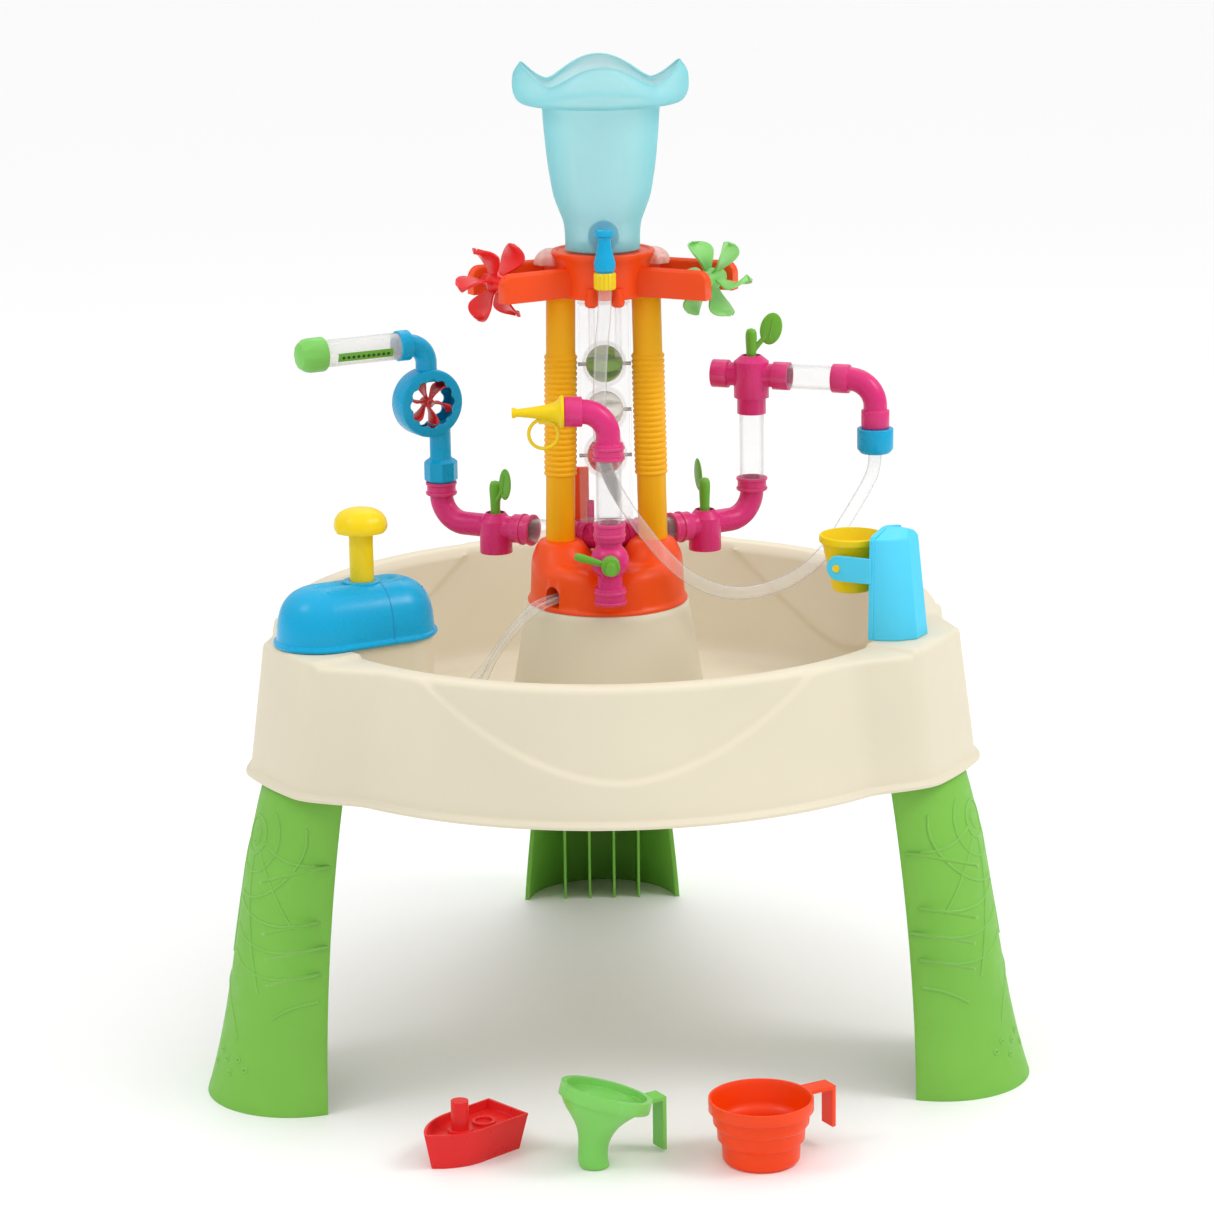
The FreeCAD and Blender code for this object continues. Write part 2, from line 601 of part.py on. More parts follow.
def make_flower():
    top, wall = S.petal_base_height, S.bowl_wall
    foot = S.crown_top + 1
    bowl = revolved([(0, foot), (38, foot), (47, 895), (55, 924), (60, 970), (62.5, top),
                     (S.bowl_wall * -1 + 62.5, top), (S.bowl_wall * -1 + 60, 970),
                     (S.bowl_wall * -1 + 55, 924), (S.bowl_wall * -1 + 47, 896), (34, foot + wall),
                     (0, foot + wall)])
    outlet = cylinder(7.2, 40, at=(0, -20, SPOUT_LEVEL), axis=(0, -1, 0))
    piece("flower_bowl", cut(bowl, outlet))
    dish = revolved([(60.2, top + 0.2), (S.petal_radius - 8, top + 0.2), (S.petal_radius, top + 24),
                     (S.petal_radius - 6, S.petal_tip_height), (S.petal_radius - 8.5, S.petal_tip_height),
                     (S.petal_radius - 2.5, top + 24), (S.petal_radius - 10, top + wall + 0.2),
                     (60.2, top + wall + 0.2)])
    dips = [cylinder(47, 80, at=polar(50, angle, 1083), axis=polar(1, angle))
            for angle in (45, 135, 225, 315)]
    piece("flower_petals", cut(dish, *dips))


def make_outlet():
    """The spout under the flower, its inner nut, and the ribbed nut that holds the hose."""
    post = (0, SPOUT_REACH * -1, 0)
    body = revolved([(0, 844), (9, 844), (9, 847), (11.5, 849), (11.5, 858), (7, 878), (7, 884),
                     (10, 886), (10, 891), (0, 891)])
    body.Placement = Placement(vector(post), Rotation())
    barrel = cylinder(7, SPOUT_REACH - 22, at=(0, -22, SPOUT_LEVEL), axis=(0, -1, 0))
    water_way = cylinder(4, 30, at=(0, -SPOUT_REACH, 840))
    piece("outlet_spout", cut(fuse(body, barrel), water_way))
    nut = cut(cylinder(13, 6, at=(0, -25, SPOUT_LEVEL), axis=(0, -1, 0)),
              cylinder(7.1, 20, at=(0, -20, SPOUT_LEVEL), axis=(0, -1, 0)))
    piece("outlet_nut", nut)
    grip = S.hose_radius + 0.15
    sleeve = revolved([(grip, 828), (11.5, 828), (12, 832), (12, 846), (9.2, 846), (9.2, 843.8),
                       (S.hose_radius - 2, 843.8), (S.hose_radius - 2, 834), (grip, 834)])
    piece("hose_nut", sleeve, Placement(vector(post), Rotation()))


def make_drip_straws():
    straws = [cut(cylinder(3.5, 60, at=(side * STRAW_SIDE, -40, S.crown_bottom.value - 54)),
                  cylinder(2.6, 62, at=(side * STRAW_SIDE, -40, S.crown_bottom.value - 55)))
              for side in (-1, 1)]
    piece("drip_straws", group(*straws))


# --- pipes and valves --------------------------------------------------------------------------

def manifold_frame(angle):
    """+X along a branch from the middle of the manifold, at the pipes' height."""
    return turned(angle, (0, S.manifold_back, S.pipe_height))


def make_manifold():
    outer, inner = [], []
    for angle in (LEFT_PIPE, RIGHT_PIPE):
        branch = [cylinder(S.pipe_radius, 24, axis=(1, 0, 0)),
                  cylinder(S.collar_radius, 22, at=(22, 0, 0), axis=(1, 0, 0))]
        holes = [cylinder(S.pipe_bore, 30, axis=(1, 0, 0)),
                 cylinder(S.socket_bore, 16, at=(29, 0, 0), axis=(1, 0, 0))]
        for feature in branch + holes:
            feature.Placement = manifold_frame(angle).multiply(feature.Placement)
        outer += branch
        inner += holes
    back, level = S.manifold_back.value, S.pipe_height.value
    stub = MANIFOLD_STUB_REACH + back
    outer.append(cylinder(S.pipe_radius, stub, at=(0, back, level), axis=(0, -1, 0)))
    inner.append(cylinder(S.pipe_bore, stub + 1, at=(0, back, level), axis=(0, -1, 0)))
    outer.append(sphere(S.pipe_radius + 3, at=(0, back, level)))
    outer.append(cylinder(S.pipe_radius, S.pipe_height - S.base_top_height + 3,
                          at=(0, back, S.base_top_height - 3)))
    outer.append(cylinder(4, 42, at=(NIPPLE_SIDE, back, level)))
    inner.append(cylinder(2.6, 60, at=(NIPPLE_SIDE, back, level)))
    piece("manifold", pipe(outer, inner))


def valve_body(mouth, valve, riser):
    """A stop valve with an inlet collar, an upright plug bore and an elbow up to a collar."""
    bend, radius = S.elbow_bend, S.pipe_radius
    start = riser - bend
    centre = (start, 0, bend)
    outer = [cylinder(S.collar_radius, 24, at=(mouth, 0, 0), axis=(1, 0, 0)),
             cylinder(radius, start - mouth - 10, at=(mouth + 10, 0, 0), axis=(1, 0, 0)),
             quarter_bend(bend, radius, centre, (0, 0, -1), (1, 0, 0)),
             cylinder(S.collar_radius, 15, at=(riser, 0, bend)),
             cylinder(S.valve_body_radius, 36, at=(valve, 0, -29)),
             cone(S.valve_body_radius, 11, 9, at=(valve, 0, 7))]
    inner = [cylinder(S.pipe_bore, start - mouth - 10, at=(mouth + 10, 0, 0), axis=(1, 0, 0)),
             cylinder(S.socket_bore, 18, at=(mouth - 1, 0, 0), axis=(1, 0, 0)),
             quarter_bend(bend, S.pipe_bore, centre, (0, 0, -1), (1, 0, 0)),
             cylinder(S.swivel_bore, 18, at=(riser, 0, bend + 1)),
             cylinder(S.valve_bore, 60, at=(valve, 0, -25))]
    return pipe(outer, inner)


def handle(leaf_turn):
    """A valve plug with a stalk and a leaf. +Z along the stalk, z = 0 at the pipe's axis."""
    plug = cylinder(S.plug_radius, 38, at=(0, 0, -24.7))
    stalk = fuse(cylinder(S.stalk_radius, 34, at=(0, 0, 13)), sphere(S.stalk_radius, at=(0, 0, 47)))
    leaf_axis = polar(1, leaf_turn + 90)
    leaf_middle = polar(24, leaf_turn, 50)
    leaf = cylinder(S.leaf_radius, S.leaf_thickness, axis=leaf_axis,
                    at=leaf_middle - leaf_axis * (S.leaf_thickness.value / 2))
    lean = Rotation(UP, leaf_turn).multiply(Rotation(Vector(0, 1, 0), 40))
    web = box(11, S.leaf_thickness, 26, middle=polar(9, leaf_turn, 36), turn=lean)
    way = cylinder(8, 40, at=polar(-20, 0), axis=(1, 0, 0))
    return cut(fuse(plug, stalk, leaf, web), way)


def make_side_valves():
    left = valve_body(S.left_mouth_reach, S.left_valve_reach, S.left_riser_reach)
    piece("left_valve", left, manifold_frame(LEFT_PIPE))
    right = valve_body(S.right_mouth_reach, S.right_valve_reach, S.right_riser_reach)
    piece("right_valve", right, manifold_frame(RIGHT_PIPE))
    for node, angle, reach, leaf_turn in (("left_handle", LEFT_PIPE, S.left_valve_reach, -60),
                                          ("right_handle", RIGHT_PIPE, S.right_valve_reach, 105)):
        place = manifold_frame(angle).multiply(Placement(Vector(reach.value, 0, 0), Rotation()))
        piece(node, handle(leaf_turn - angle), place)
    links = []
    for angle, mouth in ((LEFT_PIPE, S.left_mouth_reach), (RIGHT_PIPE, S.right_mouth_reach)):
        start = 29.5
        length = mouth + S.socket_depth - start
        link = cut(cylinder(S.tube_radius, length, at=(start, 0, 0), axis=(1, 0, 0)),
                   cylinder(S.tube_bore, length + 2, at=(start - 1, 0, 0), axis=(1, 0, 0)))
        link.Placement = manifold_frame(angle)
        links.append(link)
    piece("link_tubes", group(*links))


def clear_tube(radius, bore, bottom, top):
    return cut(cylinder(radius, top - bottom, at=(0, 0, bottom)),
               cylinder(bore, top - bottom + 2, at=(0, 0, bottom - 1)))


def make_front_pipe():
    level, reach = S.pipe_height.value, S.front_pipe_reach.value
    axis_foot = Placement(Vector(0, -reach, 0), Rotation())
    outer = [cylinder(S.collar_radius, 18, at=(0, 0, level - 47)),
             cylinder(S.pipe_radius, 60, at=(0, 0, level - 36)),
             sphere(S.bulb_radius, at=(0, 0, level)),
             cylinder(S.collar_radius + 0.5, 19, at=(0, 0, level + 22)),
             cylinder(S.collar_radius, 36, at=(0, 0, level), axis=(0, 1, 0))]
    inner = [cylinder(S.pipe_bore, 46, at=(0, 0, level - 48)),
             cylinder(S.pipe_bore, 40, at=(0, 0, level)),
             cylinder(S.socket_bore, 16, at=(0, 0, level + 26)),
             cylinder(S.pipe_radius + 0.1, 18, at=(0, 20, level), axis=(0, 1, 0)),
             cylinder(S.valve_bore, 44, at=(0, 17, level), axis=(0, -1, 0))]
    piece("front_valve", pipe(outer, inner), axis_foot)
    stalk_frame = Rotation(Vector(1, 0, 0), Vector(0, 0, 1), Vector(0, -1, 0), "XYZ")
    piece("front_handle", short_handle(), Placement(Vector(0, -reach, level), stalk_frame))
    outlet = S.front_outlet_height.value
    bottom, top = level + 26.5, outlet - 36
    piece("front_tube", clear_tube(S.tube_radius, S.tube_bore, bottom, top), axis_foot)
    bend = S.elbow_bend - 3
    start = bend.value * -1
    centre = (start, 0, outlet + start)
    outer = [cylinder(S.collar_radius, 18, at=(0, 0, outlet - 52)),
             cylinder(S.pipe_radius, 9, at=(0, 0, outlet - 36)),
             quarter_bend(bend, S.pipe_radius, centre, (1, 0, 0), (0, 0, 1)),
             cylinder(S.collar_radius, 19, at=(start, 0, outlet), axis=(-1, 0, 0))]
    inner = [cylinder(S.swivel_bore, 18, at=(0, 0, outlet - 53)),
             cylinder(S.pipe_bore, 10, at=(0, 0, outlet - 37)),
             quarter_bend(bend, S.pipe_bore, centre, (1, 0, 0), (0, 0, 1)),
             cylinder(S.pipe_bore, 8, at=(start, 0, outlet), axis=(-1, 0, 0)),
             cylinder(S.socket_bore, 16, at=(start - 4, 0, outlet), axis=(-1, 0, 0))]
    piece("front_elbow", pipe(outer, inner), axis_foot)
    make_horn(start - 19, outlet, axis_foot)


def short_handle():
    """The front valve's lever: a plug, a round knob and a lever to one side."""
    plug = cylinder(S.plug_radius, 34, at=(0, 0, -15.5))
    knob = sphere(S.stalk_radius + 2, at=(0, 0, 24))
    lean = Rotation(UP, 160)
    lever = box(42, 8, 6, middle=polar(21, 160, 25), turn=lean)
    tip = cylinder(4, 6, at=polar(42, 160, 22))
    way = cylinder(8, 40, at=(0, -20, 0), axis=(0, 1, 0))
    return cut(fuse(plug, knob, lever, tip), way)


def make_horn(start, level, place):
    """The horn nozzle with its plug in the elbow, and the finger ring under it."""
    length = S.horn_length
    body = revolved([(3, -13), (S.socket_bore - 0.2, -13), (S.socket_bore - 0.2, 0.2),
                     (S.horn_radius, 0.2), (S.horn_radius, 3), (13, 6), (8.5, 14), (6, 28),
                     (4.4, length - 8), (5.4, length - 3), (5.4, length), (3, length)])
    body.Placement = along((-1, 0, 0), (start, 0, level))
    finger_ring = ring(15.5, 1.9, (start - 22, 0, level - 23), (0, 1, 0))
    way = cylinder(3, length + 20, at=(start + 14, 0, level), axis=(-1, 0, 0))
    piece("horn_nozzle", cut(fuse(body, finger_ring), way), place)


def make_right_pipe():
    riser_foot = manifold_frame(RIGHT_PIPE).multVec(Vector(S.right_riser_reach.value, 0, 0))
    upright = Placement(Vector(riser_foot.x, riser_foot.y, 0), Rotation(UP, CROSS_ANGLE))
    level, bottom = S.tee_height.value, S.pipe_height.value + 32
    riser_top = level - 28
    piece("riser_tube", clear_tube(S.tube_radius, S.tube_bore, bottom, riser_top), upright)
    port = S.tee_port_reach.value
    outer = [cylinder(S.collar_radius, 18, at=(0, 0, level - 43)),
             cylinder(S.tee_radius, 40, at=(0, 0, level - 25)),
             cone(S.tee_radius, 11, 7, at=(0, 0, level + 15)),
             cylinder(S.pipe_radius, port * 2 - 10, at=(5 - port, 0, level), axis=(1, 0, 0)),
             cylinder(S.collar_radius - 0.5, 18, at=(-port, 0, level), axis=(1, 0, 0)),
             cylinder(S.collar_radius - 0.5, 18, at=(port - 18, 0, level), axis=(1, 0, 0))]
    inner = [cylinder(S.socket_bore, 16, at=(0, 0, level - 44)),
             cylinder(S.pipe_bore, 30, at=(0, 0, level - 29)),
             cylinder(S.pipe_bore, port * 2 + 2, at=(-port - 1, 0, level), axis=(1, 0, 0)),
             cylinder(S.socket_bore, 16, at=(port - 15, 0, level), axis=(1, 0, 0)),
             cylinder(S.valve_bore, 50, at=(0, 0, level - 21))]
    piece("tee_valve", pipe(outer, inner), upright)
    tee_handle = handle(-CROSS_ANGLE)
    piece("tee_handle", tee_handle, upright.multiply(Placement(Vector(0, 0, level), Rotation())))
    reach, bend = S.cross_axis_reach.value, S.elbow_bend - 1
    start, stop = port - 14.5, reach - bend.value - 4.5
    cross = cut(cylinder(S.tube_radius, stop - start, at=(start, 0, level), axis=(1, 0, 0)),
                cylinder(S.tube_bore, stop - start + 2, at=(start - 1, 0, level), axis=(1, 0, 0)))
    piece("cross_tube", cross, upright)
    centre = (reach - bend.value, 0, level - bend.value)
    outer = [cylinder(S.collar_radius, 19, at=(centre[0] - 19, 0, level), axis=(1, 0, 0)),
             quarter_bend(bend, S.pipe_radius, centre, (1, 0, 0), (0, 0, 1)),
             cylinder(S.pipe_radius, 30, at=(reach, 0, centre[2]), axis=(0, 0, -1)),
             cylinder(S.collar_radius - 0.5, 20, at=(reach, 0, centre[2] - 4), axis=(0, 0, -1))]
    inner = [cylinder(S.socket_bore, 16, at=(centre[0] - 20, 0, level), axis=(1, 0, 0)),
             cylinder(S.pipe_bore, 5, at=(centre[0] - 5, 0, level), axis=(1, 0, 0)),
             quarter_bend(bend, S.pipe_bore, centre, (1, 0, 0), (0, 0, 1)),
             cylinder(S.pipe_bore, 32, at=(reach, 0, centre[2]), axis=(0, 0, -1))]
    piece("down_elbow", pipe(outer, inner), upright)
    low, high = S.cap_bottom_height.value, centre[2] - 24.2
    cap = cut(revolved([(0, low), (16, low), (20, low + 5), (20, high), (0, high)]),
              cylinder(S.pipe_radius + 0.15, 40, at=(0, 0, low + 14)),
              cylinder(S.hose_radius - 1.5, 40, at=(0, 0, low - 1)))
    piece("hose_cap", cap, upright.multiply(Placement(Vector(reach, 0, 0), Rotation())))


# --- fan pipe ----------------------------------------------------------------------------------

def fan_place():
    """Above the left elbow: +X along the sprinkler tube, +Y towards the front window."""
    foot = manifold_frame(LEFT_PIPE).multVec(Vector(S.left_riser_reach.value, 0, 0))
    return Placement(Vector(foot.x, foot.y, 0), Rotation(UP, SPRINKLER_ANGLE))


def make_fan_pipe():
    place, level, offset = fan_place(), S.fan_height.value, S.fan_offset.value
    half, radius, wall = S.fan_housing_width.value / 2, S.fan_housing_radius, 2.5
    foot = S.pipe_height.value + 31.5
    top, bend = S.sprinkler_height.value, 22
    centre = (offset + bend, 0, top - bend)
    outer = [cylinder(S.tube_radius, 15, at=(0, 0, foot)),
             cylinder(17.5, 26, at=(0, 0, foot + 13.9)),
             cylinder(11.8, 48, at=(0, 0, foot + 38)),
             cylinder(radius, half * 2 - wall, at=(offset, -half, level), axis=(0, 1, 0)),
             cylinder(11.8, 15, at=(offset, 0, level + 29)),
             quarter_bend(bend, 11.8, centre, (-1, 0, 0), (0, 0, 1)),
             cylinder(16.8, 14, at=(centre[0], 0, top), axis=(1, 0, 0))]
    inner = [cylinder(10, 70, at=(0, 0, foot - 1)),
             cylinder(radius - wall, half * 2, at=(offset, wall - half, level), axis=(0, 1, 0)),
             cylinder(S.fan_window_radius, 10, at=(offset, -half - 1, level), axis=(0, 1, 0)),
             cylinder(10, 18, at=(offset, 0, level + 26)),
             quarter_bend(bend, 10, centre, (-1, 0, 0), (0, 0, 1)),
             cylinder(10, 4, at=(centre[0], 0, top), axis=(1, 0, 0)),
             cylinder(S.sprinkler_radius + 0.15, 12, at=(centre[0] + 3, 0, top), axis=(1, 0, 0))]
    spokes = [box(4, 2, S.fan_window_radius * 2 + 4, middle=(offset, 1 - half, level),
                  turn=Rotation(Vector(0, 1, 0), turn)) for turn in (0, 90)]
    hub = cylinder(6, 3, at=(offset, -half, level), axis=(0, 1, 0))
    hub_bore = cylinder(S.pin_radius, 5, at=(offset, -half - 1, level), axis=(0, 1, 0))
    piece("fan_housing", cut(fuse(pipe(outer, inner), *spokes, hub), hub_bore), place)
    cover = cut(cylinder(radius, wall - 0.1, at=(offset, half - wall + 0.1, level), axis=(0, 1, 0)),
                cylinder(S.fan_window_radius, 10, at=(offset, 5, level), axis=(0, 1, 0)))
    bars = [box(3, wall - 0.1, S.fan_window_radius * 2 + 4, middle=(offset, half - wall / 2 + 0.05, level),
                turn=Rotation(Vector(0, 1, 0), turn)) for turn in (45, 135)]
    boss = cylinder(5, wall - 0.1, at=(offset, half - wall + 0.1, level), axis=(0, 1, 0))
    boss_bore = cylinder(S.pin_radius, 6, at=(offset, half - 5, level), axis=(0, 1, 0))
    piece("fan_cover", cut(fuse(cover, *bars, boss), boss_bore), place)
    wheel = feature_of(bladed_wheel(S.fan_radius.value, 5, 18, 14, S.pin_radius.value + 0.06, sweep=4))
    wheel.Placement = along((0, 1, 0), (offset, 0, level))
    piece("fan", wheel, place)
    axle = cylinder(S.pin_radius, half * 2 - 1, at=(offset, 0.5 - half, level), axis=(0, 1, 0))
    piece("fan_axle", axle, place)
    make_sprinkler(place, centre[0] + 4, top)


def make_sprinkler(place, start, level):
    length = S.sprinkler_length
    tube = cut(cylinder(S.sprinkler_radius, length, at=(start, 0, level), axis=(1, 0, 0)),
               cylinder(S.sprinkler_radius - 1.3, length + 2, at=(start - 1, 0, level), axis=(1, 0, 0)))
    piece("sprinkler_tube", tube, place)
    end = start + length.value
    cap = cut(cylinder(S.cap_radius, S.cap_length, at=(end - 6, 0, level), axis=(1, 0, 0)),
              cylinder(S.sprinkler_radius + 0.2, 7, at=(end - 7, 0, level), axis=(1, 0, 0)))
    strip = box(84, 3, 9, middle=(end - 41, 8.8, level - 3.5))
    tie = cylinder(9, 4, at=(end + 0.5, 0, level), axis=(1, 0, 0))
    piece("sprinkler_cap", fuse(cap, strip, tie), place)


# --- pump --------------------------------------------------------------------------------------

def make_pump():
    frame = turned(PUMP_ANGLE)
    length, half = S.pump_half_length.value, S.pump_half_width.value
    straight = (length - half) * 2
    foot, top = S.platform_height.value + 0.6, S.pump_top_height.value
    reach = S.pump_reach.value
    dome = feature_of(pump_dome_shape(reach, straight, half, foot, top))
    stem_at = (S.plunger_reach, 0, 0)
    collar = cylinder(21, 8, at=(S.plunger_reach, 0, top - 2))
    bore = cylinder(S.stem_radius + 0.08, 60, at=(S.plunger_reach, 0, top - 30))
    piece("pump_dome", cut(fuse(dome, collar), bore), frame)
    barrel_foot = BARB_HEIGHTS[0] - 8
    barrel_top = foot + 20
    barrel = [cylinder(S.piston_radius + 2.6, barrel_top - barrel_foot, at=(S.plunger_reach, 0, barrel_foot))]
    barbs = [cylinder(S.small_hose_radius - 0.2, S.plunger_reach - 16 - BARB_REACH,
                      at=(S.plunger_reach - 16, 0, height), axis=(-1, 0, 0)) for height in BARB_HEIGHTS]
    chamber = [cylinder(S.piston_radius + 0.07, 300, at=(S.plunger_reach, 0, barrel_foot + 3)),
               *[cylinder(1.6, 120, at=(S.plunger_reach, 0, height), axis=(-1, 0, 0))
                 for height in BARB_HEIGHTS]]
    piece("pump_cylinder", pipe(barrel + barbs, chamber), frame)
    knob_top = S.knob_top_height
    piston_top = PISTON_HEIGHT
    plunger = revolved([(0, piston_top - 14), (S.piston_radius, piston_top - 14),
                        (S.piston_radius, piston_top), (8, piston_top), (8, top - 12),
                        (S.stem_radius, top - 12), (S.stem_radius, knob_top - 30),
                        (S.knob_radius - 6, knob_top - 30), (S.knob_radius, knob_top - 24),
                        (S.knob_radius - 2, knob_top - 10), (S.knob_radius - 12, knob_top),
                        (0, knob_top)])
    piece("plunger", plunger, frame.multiply(Placement(vector(stem_at), Rotation())))
    spring_foot = barrel_foot + 3.2
    spring_height = piston_top - 14 - 0.2 - spring_foot
    wire, turns, steps = 1.0, 7, 8
    pitch = (spring_height - 2 * wire) / turns
    route = [polar(14, 360 * step / steps, spring_foot + wire + pitch * step / steps)
             for step in range(turns * steps + 1)]
    middle = Placement(Vector(S.plunger_reach.value, 0, 0), Rotation())
    piece("pump_spring", hose(route, wire, "pump_spring"), frame.multiply(middle))


def pump_dome_shape(reach, straight, half, foot, top):
    """A long rounded cover, open below, made from a stack of lofted stadium outlines."""
    levels = [(foot, half), (foot + 4, half), (foot + 4.2, half - 3), (foot + 26, half - 6),
              (foot + 44, half - 15), (top - 3, half - 27), (top, half - 36)]

    def stack(inset, lift):
        solids = []
        rows = [(level + lift, radius - inset) for level, radius in levels]
        for low, high in zip(rows, rows[1:]):
            solids.append(Part.makeLoft([stadium(reach, straight, *low[::-1]),
                                         stadium(reach, straight, *high[::-1])], True))
        return solids[0].multiFuse(solids[1:])

    outer = stack(0, 0)
    inner = stack(2.5, -2.5)
    return outer.cut(inner)


def stadium(reach, straight, radius, height):
    """A closed outline with two straight sides and two round ends, long in X."""
    half = straight / 2
    corners = [Vector(reach - half, -radius, height), Vector(reach + half, -radius, height),
               Vector(reach + half, radius, height), Vector(reach - half, radius, height)]
    return Part.Wire([Part.LineSegment(corners[0], corners[1]).toShape(),
                      Part.Arc(corners[1], Vector(reach + half + radius, 0, height), corners[2]).toShape(),
                      Part.LineSegment(corners[2], corners[3]).toShape(),
                      Part.Arc(corners[3], Vector(reach - half - radius, 0, height), corners[0]).toShape()])


# --- tipping bucket ----------------------------------------------------------------------------

def make_bucket_unit():
    frame = turned(RIGHT_LEG)
    reach, half = S.splash_plate_reach.value, S.splash_half_width.value
    foot = S.tub_rim_height.value + S.lobe_rise.value
    top = S.splash_top_height.value

    def outline(height, depth, side):
        ends = [Vector(reach, -side, height), Vector(reach, side, height)]
        knees = [Vector(reach + depth * 0.62, side * 0.8, height),
                 Vector(reach + depth * 0.62, -side * 0.8, height)]
        back = [Vector(reach + depth, side * 0.35, height), Vector(reach + depth, -side * 0.35, height)]
        return Part.makePolygon([ends[0], ends[1], knees[0], back[0], back[1], knees[1], ends[0]])

    body = Part.makeLoft([outline(foot, 42, half), outline(top, 30, half - 4)], True)
    hollow = Part.makeLoft([outline(foot - 0.1, 38, half - 3), outline(top - 3, 26, half - 7)], True)
    hollow.translate(Vector(2.5, 0, 0))
    shape = body.cut(hollow)
    pivot = (S.bucket_reach.value, S.bucket_pivot_height.value)
    for side in (-1, 1):
        inner_face = S.bucket_radius.value + 1
        start = Vector(pivot[0] - 2, side * inner_face if side > 0 else -half, pivot[1] - 14)
        ear = Part.makeBox(reach - pivot[0] + 2.5, half - inner_face, 28, start)
        ear = ear.fuse(Part.makeCylinder(14, half - inner_face,
                                         Vector(pivot[0] - 2, side * inner_face, pivot[1]),
                                         Vector(0, side, 0)))
        ear = ear.cut(Part.makeCylinder(S.trunnion_radius.value + 0.08, half * 3,
                                        Vector(pivot[0], -half * 1.5, pivot[1]), Vector(0, 1, 0)))
        shape = shape.fuse(ear)
    piece("splash_tower", feature_of(shape.removeSplitter()), frame)
    low, high = S.bucket_bottom, S.bucket_top
    foot_radius, rim, wall = S.bucket_foot_radius, S.bucket_radius, S.toy_wall
    cup = revolved([(0, low), (foot_radius, low), (rim - 3, high - 8), (rim, high - 7), (rim, high),
                    (rim - wall, high), (rim - 3 - wall, high - 9), (foot_radius - wall, low + wall),
                    (0, low + wall)])
    span = S.splash_half_width * 2 + 3
    trunnion = cylinder(S.trunnion_radius, span, axis=(0, 1, 0),
                        at=(0, span.value / -2, S.bucket_pivot_height))
    inside = cone(foot_radius - wall, rim - wall - 3, high - low - 3, at=(0, 0, low + wall))
    piece("bucket", cut(fuse(cup, trunnion), inside),
          frame.multiply(Placement(Vector(S.bucket_reach.value, 0, 0), Rotation())))


# --- hoses -------------------------------------------------------------------------------------

def hose(route, radius, label):
    """A hose along straight runs joined by tangent arcs, as large as the runs allow."""
    points = [Vector(*point) for point in route]
    edges, start, radii = [], points[0], []
    for before, corner, after in zip(points, points[1:], points[2:]):
        arrive, leave = (corner - before), (after - corner)
        turn = arrive.getAngle(leave)
        trim = 0.45 * min(arrive.Length, leave.Length)
        arc_radius = trim / math.tan(turn / 2)
        radii.append(round(arc_radius, 1))
        first = corner - arrive.normalize() * trim
        last = corner + leave.normalize() * trim
        inward = (leave - arrive).normalize()
        middle = corner + inward * (arc_radius / math.cos(turn / 2) - arc_radius)
        edges.append(Part.LineSegment(start, first).toShape())
        edges.append(Part.Arc(first, middle, last).toShape())
        start = last
    edges.append(Part.LineSegment(start, points[-1]).toShape())
    path = Part.Wire(edges)
    tangent = points[1] - points[0]
    section = Part.Wire([Part.makeCircle(number(radius), points[0], tangent)])
    tube = path.makePipeShell([section], True, False)
    expected = math.pi * number(radius) ** 2 * path.Length
    print(label, "length", round(path.Length, 1), "volume ratio", round(tube.Volume / expected, 4),
          "arc radii", radii)
    return feature_of(tube)


TOWER_HOSE_ROUTE = [
    (0, -62, 833.9), (0, -62, 810), (-5, -62, 764), (-8, -63, 705), (-7, -64, 650), (8, -67, 612),
    (38, -70, 567), (66, -67, 532), (94, -60, 508), (128, -46, 492), (166, -27, 489),
    (206, -8, 499), (240, 12, 523), (265, 31, 556), (288, 49, 588), (297.9, 57.3, 607),
    (297.9, 57.3, 622.9),
]
PUMP_HOSE_ROUTES = {
    "pump_hose_front": [(-37.9, -42.2, 493), (-57, -60, 493), (-80, -81, 487), (-104, -95, 468),
                        (-123, -93, 442), (-134, -84, 417), (-142, -79, 397), (-158, -84, 386),
                        (-176.5, -93.84, 386)],
    "pump_hose_rear": [(-44.7, -34.9, 493), (-64, -53, 493), (-86, -68, 487), (-107, -72, 463),
                       (-125, -71, 437), (-140, -74, 417), (-158, -84, 404),
                       (-176.5, -93.84, 404)],
}


def make_hoses():
    piece("tower_hose", hose(TOWER_HOSE_ROUTE, S.hose_radius, "tower_hose"))
    for node, route in PUMP_HOSE_ROUTES.items():
        piece(node, hose(route, S.small_hose_radius, node))


# --- toys --------------------------------------------------------------------------------------

def make_cup():
    wall, rim, top = S.toy_wall, S.cup_radius, S.cup_height
    outline = [(0, 0), (rim - 17, 0), (rim - 14, 4), (rim - 13, 21), (rim - 9, 25), (rim - 8, 38),
               (rim - 4.5, 42), (rim - 4, 53), (rim, 55), (rim, top), (rim - wall, top),
               (rim - 4 - wall, 52), (rim - 6.5 - wall, 42), (rim - 10 - wall, 38),
               (rim - 15 - wall, 22), (rim - 17 - wall, wall), (0, wall)]
    grip = fuse(box(31, 20, 4, middle=(rim.value + 14.5, 0, top.value - 3)),
                box(4, 20, 44, middle=(rim.value + 28, 0, top.value - 23)))
    place = Placement(Vector(134, rim.value - S.toy_front_reach.value, 0), Rotation(UP, 28))
    piece("cup", fuse(revolved(outline), grip), place)


